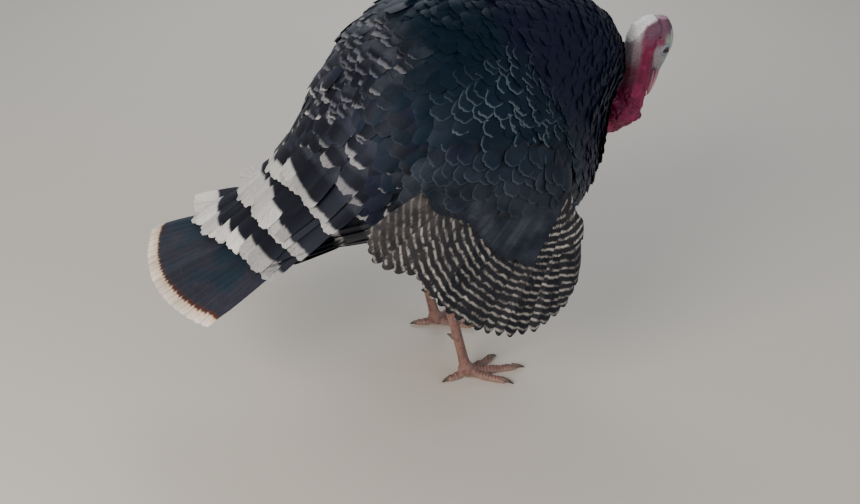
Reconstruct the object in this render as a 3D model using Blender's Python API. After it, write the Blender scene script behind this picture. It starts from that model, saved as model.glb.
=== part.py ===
"""A domestic turkey tom, life size, standing with lowered wings, a lowered half-open tail and the head tucked down.

Metres, +Z up. The bird faces +X and its left side is +Y. The origin is on the floor, below the middle of its box.
Each solid is the true outer form of one named part of the bird, out to the tips of its feathers. The body is one
loft along a curved axis, parted by thin cuts into tail coverts, trunk and neck plumage. What grows from it is shaped
as if it ran on inside, and is then cut back to a thin gap from its neighbour.
"""

import math

import bmesh
import bpy
from mathutils import Matrix, Vector
from mathutils.noise import noise

GAP = 0.0004  # clearance between neighbouring solids
RING_SIDES = 26

# Body: stations of the loft, from the tips of the tail coverts to the front of the breast.
# x, z of the axis, half width, height above the axis, depth below it
BODY_STATIONS = {
    "covert_tips": (-0.400, 0.262, 0.144, 0.014, 0.016),
    "tail_root": (-0.345, 0.285, 0.120, 0.031, 0.034),
    "rump": (-0.280, 0.321, 0.122, 0.062, 0.060),
    "loin": (-0.200, 0.366, 0.150, 0.122, 0.114),
    "flank": (-0.105, 0.406, 0.186, 0.206, 0.172),
    "wing_root": (0.000, 0.436, 0.198, 0.234, 0.210),
    "shoulder": (0.082, 0.466, 0.178, 0.214, 0.222),
    "breast": (0.147, 0.492, 0.132, 0.172, 0.180),
    "crop": (0.197, 0.510, 0.100, 0.122, 0.106),
    "breast_front": (0.238, 0.514, 0.067, 0.072, 0.053),
    "breast_tip": (0.258, 0.514, 0.026, 0.026, 0.022),
}
RINGS_PER_SPAN = 2
COVERT_CUT = 0.175  # shares of the loft's length where the body is parted
NECK_CUT = 0.775
TAIL_SWING = math.radians(9.8)  # of the tail, towards the bird's right
BEND_LENGTH = 0.11  # along which the swing grows, behind the rump

# Tail: a half-open fan that carries on the line of the coverts, and is spread more on its left side
TAIL_QUILLS = 18
TAIL_PITCH = math.radians(-24.5)
TAIL_FAN = (math.radians(0), math.radians(33))  # turn of the outermost quills, right and left
TAIL_ROOT_HALF_WIDTH = 0.134
TAIL_SHOWN = 0.123  # what shows of the middle quills behind the coverts
TAIL_ROUND = 0.26  # how much shorter the outermost quills are

# Wing, right side; the left is its mirror image
WRIST = Vector((0.096, -0.196, 0.385))
HAND_END = Vector((0.106, -0.202, 0.350))
ELBOW = Vector((-0.085, -0.186, 0.412))
WING_TIPS = (  # x, z of the edge that the tips make, from the foremost primary back to the body
    (0.107, 0.232), (0.088, 0.190), (0.045, 0.158), (0.000, 0.155), (-0.047, 0.174), (-0.090, 0.206),
    (-0.124, 0.246), (-0.150, 0.290), (-0.190, 0.303), (-0.220, 0.328), (-0.214, 0.358),
)
TIPS_OUT = (-0.226, -0.212)  # y of the tips at the front and at the back of that edge
PRIMARIES = 10
SECONDARIES = 14
PAD_CENTRE = Vector((-0.015, -0.176, 0.412))
PAD_HALF = Vector((0.128, 0.044, 0.078))
PAD_TILT = math.radians(10)

# Neck and head
NECK_PATH = {  # x, z, radius
    "in_breast": (0.170, 0.432, 0.028),
    "base": (0.232, 0.412, 0.0300),
    "foot": (0.266, 0.418, 0.0290),
    "low": (0.287, 0.446, 0.0260),
    "middle": (0.296, 0.483, 0.0240),
    "upper": (0.2975, 0.520, 0.0250),
    "bend": (0.3045, 0.549, 0.0250),
    "nape": (0.3235, 0.5575, 0.0210),
}
OCCIPUT = Vector((0.332, 0.0, 0.5735))
HEAD_PITCH = math.radians(-92.7)
HEAD_STATIONS = {  # distance from the occiput, half width, crown side, throat side
    "occiput": (0.000, 0.0120, 0.0100, 0.0100),
    "crown": (0.015, 0.0185, 0.0205, 0.0185),
    "brow": (0.032, 0.0215, 0.0252, 0.0210),
    "eye": (0.048, 0.0210, 0.0238, 0.0215),
    "cheek": (0.063, 0.0178, 0.0186, 0.0190),
    "gape": (0.076, 0.0138, 0.0138, 0.0140),
    "bill_root": (0.088, 0.0105, 0.0100, 0.0100),
}
EYE_AT = 0.050  # from the occiput
EYE_RADIUS = 0.0070
EYE_OUT = 0.0155  # of its centre from the mid plane
EYE_UP = 0.0060
BILL_LENGTH = 0.050
BILL_HOOK = 0.0060  # how far its tip bends down
SNOOD_LENGTH = 0.044
SNOOD_RADIUS = 0.0060
CARUNCLE_CENTRE = Vector((0.263, 0.0, 0.423))
CARUNCLE_HALF = Vector((0.043, 0.042, 0.027))

# Legs
HIP = Vector((0.000, 0.075, 0.300))
HOCK = Vector((-0.060, 0.085, 0.168))
ANKLE = Vector((-0.022, 0.088, 0.014))
THIGH_TOP_RADIUS = 0.062
THIGH_END_RADIUS = 0.020
SHANK_RADIUS = 0.0085
TOES = {  # length, turn outwards, radius at the root
    "middle": (0.088, 4, 0.0085),
    "outer": (0.068, 36, 0.0078),
    "inner": (0.064, -30, 0.0078),
    "hind": (0.034, 168, 0.0068),
}
TOE_END_RADIUS = 0.0058
PALM = ((0.0045, 0.0100), (0.0120, 0.0138), (0.0190, 0.0135), (0.0245, 0.0100))  # height, radius
CLAW_LENGTH = 0.017
SPUR_LENGTH = 0.016

BEARD_ROOT = Vector((0.206, 0.020, 0.372))
BEARD_LENGTH = 0.095

COLOURS = {  # base colour, roughness
    "plumage": ((0.020, 0.024, 0.032), 0.45),
    "coverts": ((0.42, 0.41, 0.40), 0.55),
    "quills": ((0.16, 0.155, 0.15), 0.50),
    "tail": ((0.022, 0.022, 0.028), 0.45),
    "skin_red": ((0.55, 0.035, 0.085), 0.50),
    "skin_pale": ((0.66, 0.62, 0.66), 0.50),
    "leg": ((0.30, 0.20, 0.17), 0.55),
    "bill": ((0.55, 0.45, 0.36), 0.40),
    "claw": ((0.10, 0.075, 0.06), 0.40),
    "eye": ((0.012, 0.009, 0.008), 0.08),
    "beard": ((0.012, 0.012, 0.014), 0.60),
}


def clear_scene():
    for old in list(bpy.data.objects):
        bpy.data.objects.remove(old)


def finish_of(name):
    found = bpy.data.materials.get(name)
    if found:
        return found
    colour, roughness = COLOURS[name]
    made = bpy.data.materials.new(name)
    made.use_nodes = True
    shader = made.node_tree.nodes["Principled BSDF"]
    shader.inputs["Base Color"].default_value = (*colour, 1.0)
    shader.inputs["Roughness"].default_value = roughness
    shader.inputs["Metallic"].default_value = 0.0
    return made


def add_object(name, mesh, finish):
    mesh.materials.append(finish_of(finish))
    made = bpy.data.objects.new(name, mesh)
    bpy.context.scene.collection.objects.link(made)
    return made


def mesh_from(name, points, faces):
    """A mesh of triangles with its faces turned outwards."""
    mesh = bpy.data.meshes.new(name)
    mesh.from_pydata(points, [], faces)
    work = bmesh.new()
    work.from_mesh(mesh)
    bmesh.ops.triangulate(work, faces=work.faces)
    bmesh.ops.recalc_face_normals(work, faces=work.faces)
    work.to_mesh(mesh)
    work.free()
    mesh.shade_smooth()
    mesh.set_sharp_from_angle(angle=math.radians(50))
    return mesh


def smooth_between(rows, spans):
    """Rows of numbers, joined by a Catmull-Rom curve with this many steps between neighbours."""
    rows = [tuple(map(float, row)) for row in rows]
    padded = [rows[0], *rows, rows[-1]]
    found = []
    for first, a, b, last in zip(padded, padded[1:], padded[2:], padded[3:]):
        for step in range(spans):
            t = step / spans
            found.append(tuple(
                0.5 * (2 * q + (r - p) * t + (2 * p - 5 * q + 4 * r - s) * t * t
                       + (3 * q - p - 3 * r + s) * t ** 3)
                for p, q, r, s in zip(first, a, b, last)))
    found.append(rows[-1])
    return found


def loft(rings):
    """Points and faces of a closed skin over rings that all have the same number of points."""
    sides = len(rings[0])
    points = [tuple(p) for ring in rings for p in ring]
    faces = []
    for k in range(len(rings) - 1):
        for i in range(sides):
            j = (i + 1) % sides
            faces.append((k * sides + i, k * sides + j, (k + 1) * sides + j, (k + 1) * sides + i))
    for start in (0, (len(rings) - 1) * sides):
        middle = sum((Vector(points[start + i]) for i in range(sides)), Vector()) / sides
        points.append(tuple(middle))
        centre = len(points) - 1
        faces += [(start + i, start + (i + 1) % sides, centre) for i in range(sides)]
    return points, faces


def oval(centre, side, up, half_width, rise, drop, sides=RING_SIDES):
    """An egg-shaped ring round centre: rise above the axis, drop below it."""
    ring = []
    for i in range(sides):
        turn = 2 * math.pi * i / sides
        height = rise if math.sin(turn) > 0 else drop
        ring.append(centre + side * (half_width * math.cos(turn)) + up * (height * math.sin(turn)))
    return ring


def tube(path, sides=12):
    """Rings along a list of (point, radius)."""
    rings = []
    across = Vector((0, 1, 0))
    for k, (point, radius) in enumerate(path):
        before = path[max(k - 1, 0)][0]
        after = path[min(k + 1, len(path) - 1)][0]
        along = (after - before).normalized()
        side = (across - along * across.dot(along)).normalized()
        rings.append(oval(point, side, along.cross(side), radius, radius, radius, sides))
    return rings


def bent(point):
    """The sideways swing of the tail: it grows along the rump and is whole behind it."""
    share = min(1.0, max(0.0, (BODY_STATIONS["rump"][0] - point.x) / BEND_LENGTH))
    pivot = Vector((BODY_STATIONS["covert_tips"][0], 0, 0))
    return Matrix.Rotation(TAIL_SWING * share * share * (3 - 2 * share), 3, "Z") @ (point - pivot) + pivot


def mirrored(points):
    return [(x, -y, z) for x, y, z in points]


def grown_copy(obj):
    """A hidden cutter: obj grown by the clearance."""
    bpy.context.view_layer.update()
    evaluated = obj.evaluated_get(bpy.context.evaluated_depsgraph_get())
    mesh = bpy.data.meshes.new_from_object(evaluated)
    mesh.materials.clear()
    work = bmesh.new()
    work.from_mesh(mesh)
    bmesh.ops.remove_doubles(work, verts=work.verts, dist=1e-6)
    work.normal_update()
    for vertex in work.verts:
        vertex.co += vertex.normal * (GAP * vertex.calc_shell_factor())
    work.to_mesh(mesh)
    work.free()
    cutter = bpy.data.objects.new("clear_of_" + obj.name, mesh)
    bpy.context.scene.collection.objects.link(cutter)
    cutter.hide_render = True
    cutter.display_type = "WIRE"
    return cutter


def part_from(obj, *neighbours):
    """Cuts obj back to a thin gap from each neighbour."""
    for neighbour in neighbours:
        cut = obj.modifiers.new("clear_of_" + neighbour.name, "BOOLEAN")
        cut.operation = "DIFFERENCE"
        cut.solver = "EXACT"
        cut.object = bpy.data.objects.get("clear_of_" + neighbour.name) or grown_copy(neighbour)
    return obj


def united(name, shapes, finish):
    """One body from closed shapes that overlap."""
    objects = []
    for k, (points, faces) in enumerate(shapes):
        mesh = mesh_from(f"{name}_{k}", points, faces)
        objects.append(add_object(name if k == 0 else f"{name}_piece_{k}", mesh, finish))
    body = objects[0]
    for piece in objects[1:]:
        join = body.modifiers.new("join_" + piece.name, "BOOLEAN")
        join.operation = "UNION"
        join.solver = "EXACT"
        join.object = piece
        piece.hide_render = True
        piece.display_type = "WIRE"
    return body


# ---- body -------------------------------------------------------------------------------------------------------

def body_rings():
    rows = smooth_between(BODY_STATIONS.values(), RINGS_PER_SPAN)
    rings = []
    for k, (x, z, half_width, rise, drop) in enumerate(rows):
        before = rows[max(k - 1, 0)]
        after = rows[min(k + 1, len(rows) - 1)]
        along = Vector((after[0] - before[0], 0, after[1] - before[1])).normalized()
        up = Vector((-along.z, 0, along.x))
        ring = oval(Vector((x, 0, z)), Vector((0, 1, 0)), up, half_width, rise, drop)
        rings.append([bent(p) for p in ring])
    return rings


def parted(rings, share, side):
    """The rings on one side of a cut at a share of the loft, with half the gap left free there."""
    at = share * (len(rings) - 1)
    low = int(at)
    mix = at - low
    cut = [a.lerp(b, mix) for a, b in zip(rings[low], rings[low + 1])]
    along = (sum(rings[low + 1], Vector()) - sum(rings[low], Vector())).normalized()
    if side == "before":
        kept = rings[: low + 1] if mix > 0.2 else rings[:low]
        return [*kept, [p - along * GAP / 2 for p in cut]]
    kept = rings[low + 1:] if mix < 0.8 else rings[low + 2:]
    return [[p + along * GAP / 2 for p in cut], *kept]


def build_body():
    rings = body_rings()
    coverts = parted(rings, COVERT_CUT, "before")
    front = parted(rings, NECK_CUT, "after")
    between = [ring for ring in rings if ring not in coverts and ring not in front]
    trunk = [*parted(rings, COVERT_CUT, "after")[:1], *between, *parted(rings, NECK_CUT, "before")[-1:]]
    made = []
    for name, part, finish in (
        ("tail_coverts", coverts, "coverts"), ("trunk", trunk, "plumage"), ("neck_plumage", front, "plumage")
    ):
        made.append(add_object(name, mesh_from(name, *loft(part)), finish))
    return made


# ---- quills -----------------------------------------------------------------------------------------------------

def quill_fan(name, quills, outward, thickness, finish, mirror=False):
    """One closed plate of overlapping quills. quills is a list of (root, tip); outward gives the plate's normal.
    Each quill has a round tip and lies a little over the next, like the slats of a fan."""
    rows = 1
    across = (-0.94, 0.0, 0.94)
    roundness = 0.055
    columns = []
    for i, (root, tip) in enumerate(quills):
        before = quills[i - 1] if i else (2 * root - quills[1][0], 2 * tip - quills[1][1])
        after = quills[i + 1] if i + 1 < len(quills) else (2 * root - quills[-2][0], 2 * tip - quills[-2][1])
        half_root = (after[0] - before[0]) / 4
        half_tip = (after[1] - before[1]) / 4
        for s in across:
            start = root + half_root * s
            reach = tip + half_tip * s - start
            columns.append((start, start + reach * (1 - roundness * s * s), s))
    layers = []
    for sign in (1, -1):
        layer = []
        for start, end, s in columns:
            for row in range(rows + 1):
                t = row / rows
                half = thickness * (0.5 - 0.28 * t)
                lap = -0.35 * thickness * s
                layer.append(start.lerp(end, t) + outward(t) * (sign * half + lap))
        layers.append(layer)
    points = [tuple(p) for layer in layers for p in layer]
    size = len(layers[0])
    step = rows + 1
    faces = []
    for c in range(len(columns) - 1):
        for r in range(rows):
            a, b = c * step + r, (c + 1) * step + r
            faces.append((a, b, b + 1, a + 1))
            faces.append((size + a, size + a + 1, size + b + 1, size + b))
    rim = [c * step for c in range(len(columns))]
    rim += [(len(columns) - 1) * step + r for r in range(1, step)]
    rim += [c * step + rows for c in range(len(columns) - 2, -1, -1)]
    rim += [r for r in range(rows - 1, 0, -1)]
    for a, b in zip(rim, rim[1:] + rim[:1]):
        faces.append((a, b, size + b, size + a))
    if mirror:
        points = mirrored(points)
    return add_object(name, mesh_from(name, points, faces), finish)


def build_tail():
    start = Vector((BODY_STATIONS["covert_tips"][0], 0, BODY_STATIONS["covert_tips"][1]))
    back = Vector((-math.cos(TAIL_PITCH), 0, math.sin(TAIL_PITCH)))
    up = Vector((back.z, 0, -back.x))
    side = Vector((0, 1, 0))
    quills = []
    for i in range(TAIL_QUILLS):
        u = i / (TAIL_QUILLS - 1)
        s = 2 * u - 1
        turn = TAIL_FAN[0] + (TAIL_FAN[1] - TAIL_FAN[0]) * u
        root = start + side * (TAIL_ROOT_HALF_WIDTH * s) + back * (GAP + 0.0003)
        aim = back * math.cos(turn) + side * math.sin(turn)
        tip = start + side * (TAIL_ROOT_HALF_WIDTH * s) + aim * (TAIL_SHOWN * (1 - TAIL_ROUND * s * s))
        quills.append((bent(root), bent(tip)))
    normal = Matrix.Rotation(TAIL_SWING, 3, "Z") @ up
    return quill_fan("tail_feathers", quills, lambda t: normal, 0.011, "tail")


def along_edge(points, count):
    """count places at equal steps along a smooth edge through the points."""
    edge = [Vector(p) for p in smooth_between(points, 8)]
    reach = [0.0]
    for a, b in zip(edge, edge[1:]):
        reach.append(reach[-1] + (b - a).length)
    found = []
    for i in range(count):
        at = reach[-1] * i / (count - 1)
        k = max(j for j in range(len(edge) - 1) if reach[j] <= at + 1e-9)
        found.append(edge[k].lerp(edge[k + 1], min(1.0, (at - reach[k]) / (reach[k + 1] - reach[k]))))
    return found


def wing_quills():
    """Root and tip of each quill of the right wing, from the outermost primary to the innermost secondary."""
    count = PRIMARIES + SECONDARIES
    quills = []
    for i, (x, z) in enumerate(along_edge(WING_TIPS, count)):
        u = i / (count - 1)
        if i < PRIMARIES:
            root = HAND_END.lerp(WRIST, i / (PRIMARIES - 1))
        else:
            root = WRIST.lerp(ELBOW, (i - PRIMARIES + 1) / SECONDARIES)
        quills.append((root, Vector((x, TIPS_OUT[0] + (TIPS_OUT[1] - TIPS_OUT[0]) * u, z))))
    return quills


def build_wing(side, trunk):
    mirror = side == "left"
    quills = wing_quills()
    sides, rings = 18, 7
    tilt = Matrix.Rotation(PAD_TILT, 3, "Y")
    shell = []
    for k in range(rings + 1):
        lean = math.pi * (0.04 + 0.92 * k / rings)
        ring = []
        for i in range(sides):
            turn = 2 * math.pi * i / sides
            spot = Vector((math.cos(lean), math.sin(lean) * math.cos(turn), math.sin(lean) * math.sin(turn)))
            spot = Vector(a * b for a, b in zip(spot, PAD_HALF))
            ring.append(PAD_CENTRE + tilt @ spot)
        shell.append(ring)
    points, faces = loft(shell)
    if mirror:
        points = mirrored(points)
    pad = add_object(f"wing_{side}_coverts", mesh_from("pad", points, faces), "plumage")
    part_from(pad, trunk)

    def outward(t):
        return Vector((0, -1, 0.12)).normalized()

    primaries = quill_fan(
        f"wing_{side}_primaries", quills[:PRIMARIES], outward, 0.0070, "quills", mirror)
    gap = (quills[PRIMARIES][1] - quills[PRIMARIES - 1][1]).normalized() * GAP
    inner = [(root, tip + gap) for root, tip in quills[PRIMARIES:]]
    secondaries = quill_fan(f"wing_{side}_secondaries", inner, outward, 0.0070, "quills", mirror)
    part_from(primaries, pad, trunk)
    part_from(secondaries, pad, trunk, primaries)
    return pad, primaries, secondaries


# ---- neck and head ----------------------------------------------------------------------------------------------

def build_neck(front):
    rows = smooth_between(NECK_PATH.values(), 2)
    path = [(Vector((x, 0, z)), radius) for x, z, radius in rows]
    neck = add_object("neck", mesh_from("neck", *loft(tube(path, 14))), "skin_red")
    return part_from(neck, front)


def head_frame():
    along = Vector((math.cos(HEAD_PITCH), 0, math.sin(HEAD_PITCH)))
    crown = Vector((-along.z, 0, along.x))
    return along, crown


def build_head(neck, front):
    along, crown = head_frame()
    side = Vector((0, 1, 0))
    rings = []
    for distance, half_width, rise, drop in smooth_between(HEAD_STATIONS.values(), 2):
        rings.append(oval(OCCIPUT + along * distance, side, crown, half_width, rise, drop, 14))
    head = add_object("head", mesh_from("head", *loft(rings)), "skin_pale")
    eyes = []
    for name, sign in (("eye_right", -1), ("eye_left", 1)):
        centre = OCCIPUT + along * EYE_AT + crown * EYE_UP + side * (sign * EYE_OUT)
        ball = bmesh.new()
        bmesh.ops.create_uvsphere(ball, u_segments=10, v_segments=8, radius=EYE_RADIUS)
        bmesh.ops.translate(ball, vec=centre, verts=ball.verts)
        mesh = bpy.data.meshes.new(name)
        ball.to_mesh(mesh)
        ball.free()
        mesh.shade_smooth()
        eyes.append(add_object(name, mesh, "eye"))
    part_from(head, neck, front, *eyes)
    return head, eyes


def bill_axis(t):
    """A place along the edge between the two halves of the bill, and how thick the bill still is there."""
    along, crown = head_frame()
    root = OCCIPUT + along * (HEAD_STATIONS["bill_root"][0] - 0.005)
    slim = math.sqrt(max(0.0, 1 - t ** 1.7)) * (1 - 0.25 * t) + 0.07
    return root + along * (BILL_LENGTH * t) - crown * (BILL_HOOK * t ** 2.4), slim


def build_bill(head, neck):
    side = Vector((0, 1, 0))
    crown = head_frame()[1]
    made = []
    for name, reach, width, rise, drop, below in (
        ("bill_upper", 1.00, 0.0098, 0.0088, 0.0012, 0.0),
        ("bill_lower", 0.86, 0.0090, 0.0014, 0.0050, 0.0026),
    ):
        rings = []
        for k in range(7):
            spot, slim = bill_axis(reach * k / 6)
            thick = slim if k < 6 else slim * 0.6
            centre = spot - crown * (below * slim + (GAP if below else 0.0))
            rings.append(oval(centre, side, crown, width * thick, rise * thick, drop * thick, 10))
        made.append(part_from(add_object(name, mesh_from(name, *loft(rings)), "bill"), head, neck))
    return made


def build_snood(head, bill):
    """The finger of skin over the bill. It grows from the forehead and droops beside the bill."""
    along, crown = head_frame()
    start = OCCIPUT + along * 0.070 + crown * 0.0100
    path = []
    for k in range(9):
        t = k / 8
        spot = start + crown * (0.0060 * math.sin(min(1.0, t * 3.0) * math.pi / 2)) - crown * (0.013 * t ** 1.6)
        spot += Vector((0, 0.0175 * math.sin(min(1.0, t * 1.7) * math.pi / 2), 0))
        spot += along * (SNOOD_LENGTH * (t ** 1.25))
        radius = SNOOD_RADIUS * (0.62 + 0.38 * math.sin(math.pi * min(1.0, t * 1.15 + 0.12)) - 0.18 * t)
        path.append((spot, radius if k < 8 else radius * 0.55))
    snood = add_object("snood", mesh_from("snood", *loft(tube(path, 8))), "skin_red")
    return part_from(snood, head, *bill)


def build_caruncles(neck, front):
    """The cluster of red lumps where the bare neck meets the breast feathers."""
    lump = bmesh.new()
    bmesh.ops.create_icosphere(lump, subdivisions=3, radius=1.0)
    for vertex in lump.verts:
        swell = 1 + 0.20 * noise(vertex.co * 2.2 + Vector((3.1, 0.4, 1.7)))
        vertex.co = CARUNCLE_CENTRE + Vector(a * b * swell for a, b in zip(vertex.co, CARUNCLE_HALF))
    mesh = bpy.data.meshes.new("caruncles")
    lump.to_mesh(mesh)
    lump.free()
    mesh.shade_smooth()
    made = add_object("caruncles", mesh, "skin_red")
    return part_from(made, neck, front)


def build_beard(front, trunk, caruncles):
    """The tuft of stiff black bristles that hangs from the middle of a tom's breast."""
    path = []
    for k in range(8):
        t = k / 7
        spot = BEARD_ROOT + Vector((0.020 * math.sin(2.2 * t), 0.0, -BEARD_LENGTH * t))
        path.append((spot, 0.0062 * (0.75 + 0.45 * t) if k < 7 else 0.0045))
    made = add_object("beard", mesh_from("beard", *loft(tube(path, 10))), "beard")
    return part_from(made, front, trunk, caruncles)


# ---- legs -------------------------------------------------------------------------------------------------------

def toe_path(angle, length, radius, sign):
    """A toe from the ankle outwards, low enough for the floor to cut a flat sole in it."""
    turn = math.radians(angle) * sign
    aim = Vector((math.cos(turn), math.sin(turn), 0))
    start = Vector((ANKLE.x, ANKLE.y * sign, 0)) + aim * 0.0021
    path = []
    for k in range(7):
        t = k / 6
        pad = 1 + 0.10 * math.sin(t * math.pi * 5)
        size = (radius + (TOE_END_RADIUS - radius) * t) * pad
        if k == 6:
            size *= 0.6
        height = 0.0123 + (size * 0.86 - 0.0123) * min(1.0, t * 2.4)
        path.append((start + aim * (length * t) + Vector((0, 0, height)), size))
    return path, aim


def floor_cutter():
    """A block below the floor: what reaches into it is cut to a flat sole."""
    block = bmesh.new()
    bmesh.ops.create_cube(block, size=1.0)
    bmesh.ops.scale(block, vec=(0.6, 0.6, 0.1), verts=block.verts)
    bmesh.ops.translate(block, vec=(0, 0, -0.05), verts=block.verts)
    mesh = bpy.data.meshes.new("floor")
    block.to_mesh(mesh)
    block.free()
    made = bpy.data.objects.new("floor_cutter", mesh)
    bpy.context.scene.collection.objects.link(made)
    made.hide_render = True
    made.display_type = "WIRE"
    return made


def build_leg(side, trunk, floor):
    sign = 1 if side == "left" else -1
    hip, hock, ankle = (Vector((p.x, p.y * sign, p.z)) for p in (HIP, HOCK, ANKLE))
    thigh_path = []
    for k in range(7):
        t = k / 6
        swell = THIGH_TOP_RADIUS + (THIGH_END_RADIUS - THIGH_TOP_RADIUS) * t ** 0.85
        spot = hip.lerp(hock + Vector((0, 0, 0.012)), t) + Vector((0.012 * math.sin(math.pi * t), 0, 0))
        thigh_path.append((spot, swell if k < 6 else swell * 0.75))
    thigh = add_object(f"thigh_{side}", mesh_from("thigh", *loft(tube(thigh_path, 14))), "plumage")
    part_from(thigh, trunk)

    shank_path = []
    for k in range(8):
        t = k / 7
        knob = 0.0055 * math.exp(-((t / 0.10) ** 2)) + 0.0030 * math.exp(-(((t - 1) / 0.10) ** 2))
        shank_path.append(((hock + Vector((0, 0, 0.012))).lerp(ankle, t), SHANK_RADIUS + knob))
    shank = add_object(f"shank_{side}", mesh_from("shank", *loft(tube(shank_path, 9))), "leg")
    part_from(shank, thigh)

    shapes = []
    claws = []
    for name, (length, angle, radius) in TOES.items():
        path, aim = toe_path(angle, length, radius, sign)
        shapes.append(loft(tube(path, 8)))
        claws.append((name, path, aim))
    palm = [(Vector((ankle.x, ankle.y, z)), radius) for z, radius in PALM]
    shapes.append(loft(tube(palm, 10)))
    foot = united(f"foot_{side}", shapes, "leg")
    sole = foot.modifiers.new("sole", "BOOLEAN")
    sole.operation = "DIFFERENCE"
    sole.solver = "EXACT"
    sole.object = floor
    part_from(shank, foot)

    for name, path, aim in claws:
        base, radius = path[-1]
        length = CLAW_LENGTH * (0.8 if name == "hind" else 1.0)
        rings = []
        for k in range(4):
            t = k / 3
            spot = base + aim * (length * t - 0.003) + Vector((0, 0, 0.0030 * math.sin(math.pi * t * 0.8)))
            spot.z = max(spot.z - 0.0035 * t * t, 0.0012)
            size = max(0.0008, 0.0044 * (1 - t) ** 0.7)
            rings.append((Vector((spot.x, spot.y, max(spot.z, size + 0.0004))), size))
        claw = add_object(f"claw_{side}_{name}", mesh_from("claw", *loft(tube(rings, 7))), "claw")
        part_from(claw, foot)

    spur_root = (hock + Vector((0, 0, 0.012))).lerp(ankle, 0.62)
    aim = Vector((-0.80, -0.55 * sign, 0.18)).normalized()
    spur_path = []
    for k in range(5):
        t = k / 4
        spot = spur_root + aim * (0.004 + SPUR_LENGTH * t) + Vector((0, 0, 0.003 * t * t))
        spur_path.append((spot, max(0.0008, 0.0052 * (1 - t) ** 0.8)))
    spur = add_object(f"spur_{side}", mesh_from("spur", *loft(tube(spur_path, 7))), "claw")
    part_from(spur, shank)


def centre_on_floor():
    """Moves everything so that the origin is below the middle of the bird's box."""
    bpy.context.view_layer.update()
    graph = bpy.context.evaluated_depsgraph_get()
    low = Vector((1e9, 1e9, 1e9))
    high = -low
    for obj in bpy.context.scene.objects:
        if obj.type == "MESH" and not obj.hide_render:
            mesh = obj.evaluated_get(graph).to_mesh()
            for vertex in mesh.vertices:
                low = Vector(map(min, low, vertex.co))
                high = Vector(map(max, high, vertex.co))
            obj.evaluated_get(graph).to_mesh_clear()
    shift = Vector((-(low.x + high.x) / 2, -(low.y + high.y) / 2, -low.z))
    for obj in bpy.context.scene.objects:
        obj.location = shift
    print("moved by", tuple(round(v, 5) for v in shift), "box", tuple(round(v, 4) for v in high - low))


def main():
    clear_scene()
    _, trunk, front = build_body()
    build_tail()
    for side in ("right", "left"):
        build_wing(side, trunk)
    neck = build_neck(front)
    part_from(neck, trunk)
    head, _ = build_head(neck, front)
    upper, lower = build_bill(head, neck)
    build_snood(head, (upper, lower))
    caruncles = build_caruncles(neck, front)
    part_from(caruncles, trunk)
    build_beard(front, trunk, caruncles)
    floor = floor_cutter()
    for side in ("right", "left"):
        build_leg(side, trunk, floor)
    centre_on_floor()


main()
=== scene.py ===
# %% [markdown]
# # A domestic turkey tom in full plumage
# The solids of the turkey are loaded as a fixed frame. This script dresses them: one bare skin with its
# folds, a coat of separate feathers that overlap like shingles, barred wing quills, a banded tail, and the
# horn parts. Places come from the frame, or are named once and measured from the hips, in metres.

# %% Load the frame
import math
from collections import namedtuple

import bmesh
import bpy
import numpy as np
from mathutils import Euler, Matrix, Vector, noise
from mathutils.bvhtree import BVHTree


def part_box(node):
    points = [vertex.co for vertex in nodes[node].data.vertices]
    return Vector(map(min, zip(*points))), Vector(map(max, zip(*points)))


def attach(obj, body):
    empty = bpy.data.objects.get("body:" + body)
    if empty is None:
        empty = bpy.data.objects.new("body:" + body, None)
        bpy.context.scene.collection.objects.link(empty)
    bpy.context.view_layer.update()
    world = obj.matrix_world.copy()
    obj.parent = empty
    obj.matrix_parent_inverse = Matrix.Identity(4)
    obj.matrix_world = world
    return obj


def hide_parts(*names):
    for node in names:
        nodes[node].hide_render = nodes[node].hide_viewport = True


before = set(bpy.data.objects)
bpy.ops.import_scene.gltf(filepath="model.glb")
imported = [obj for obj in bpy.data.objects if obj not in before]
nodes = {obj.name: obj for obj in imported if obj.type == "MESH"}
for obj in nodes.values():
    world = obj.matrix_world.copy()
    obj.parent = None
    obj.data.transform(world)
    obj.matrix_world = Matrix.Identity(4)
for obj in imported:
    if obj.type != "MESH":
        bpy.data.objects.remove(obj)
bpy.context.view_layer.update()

HIP_X = 0.0803  # how far the hips stand in front of the middle of the box

# %% [markdown]
# ## Small helpers
# Colours are written as the hex values that a paint program shows, and turned into the linear values that
# the renderer works in. One function adds any shader or geometry node, and gives its output as a Flow. Sums
# and products of flows are written as plain arithmetic, so that a material reads like the rule that it
# follows. Four kinds of node come up so often that they get short names: a step, which rises smoothly from
# 0 to 1 between two values, a blend of two colours, a noise and a bump.

# %% Helpers for colours and nodes
def linear(hexa):
    """An sRGB hex colour as linear red, green, blue and alpha."""
    parts = [int(hexa[k:k + 2], 16) / 255 for k in (1, 3, 5)]
    return (*[c / 12.92 if c <= 0.04045 else ((c + 0.055) / 1.055) ** 2.4 for c in parts], 1.0)


class Flow:
    """An output of a node. Arithmetic adds math nodes, to() sends it on, and [name] picks another output."""

    def __init__(self, node, output=0):
        self.node = node
        self.tree = node.id_data
        self.socket = node.outputs[output]

    def __getitem__(self, output):
        return Flow(self.node, output)

    def to(self, kind, *values, **settings):
        return add(self.tree, kind, self, *values, **settings)

    def __add__(self, other):
        return self.to("ShaderNodeMath", other, operation="ADD")

    def __mul__(self, other):
        return self.to("ShaderNodeMath", other, operation="MULTIPLY")

    def __sub__(self, other):
        return self.to("ShaderNodeMath", other, operation="SUBTRACT")

    def __rsub__(self, other):
        return add(self.tree, "ShaderNodeMath", other, self, operation="SUBTRACT")


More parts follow.
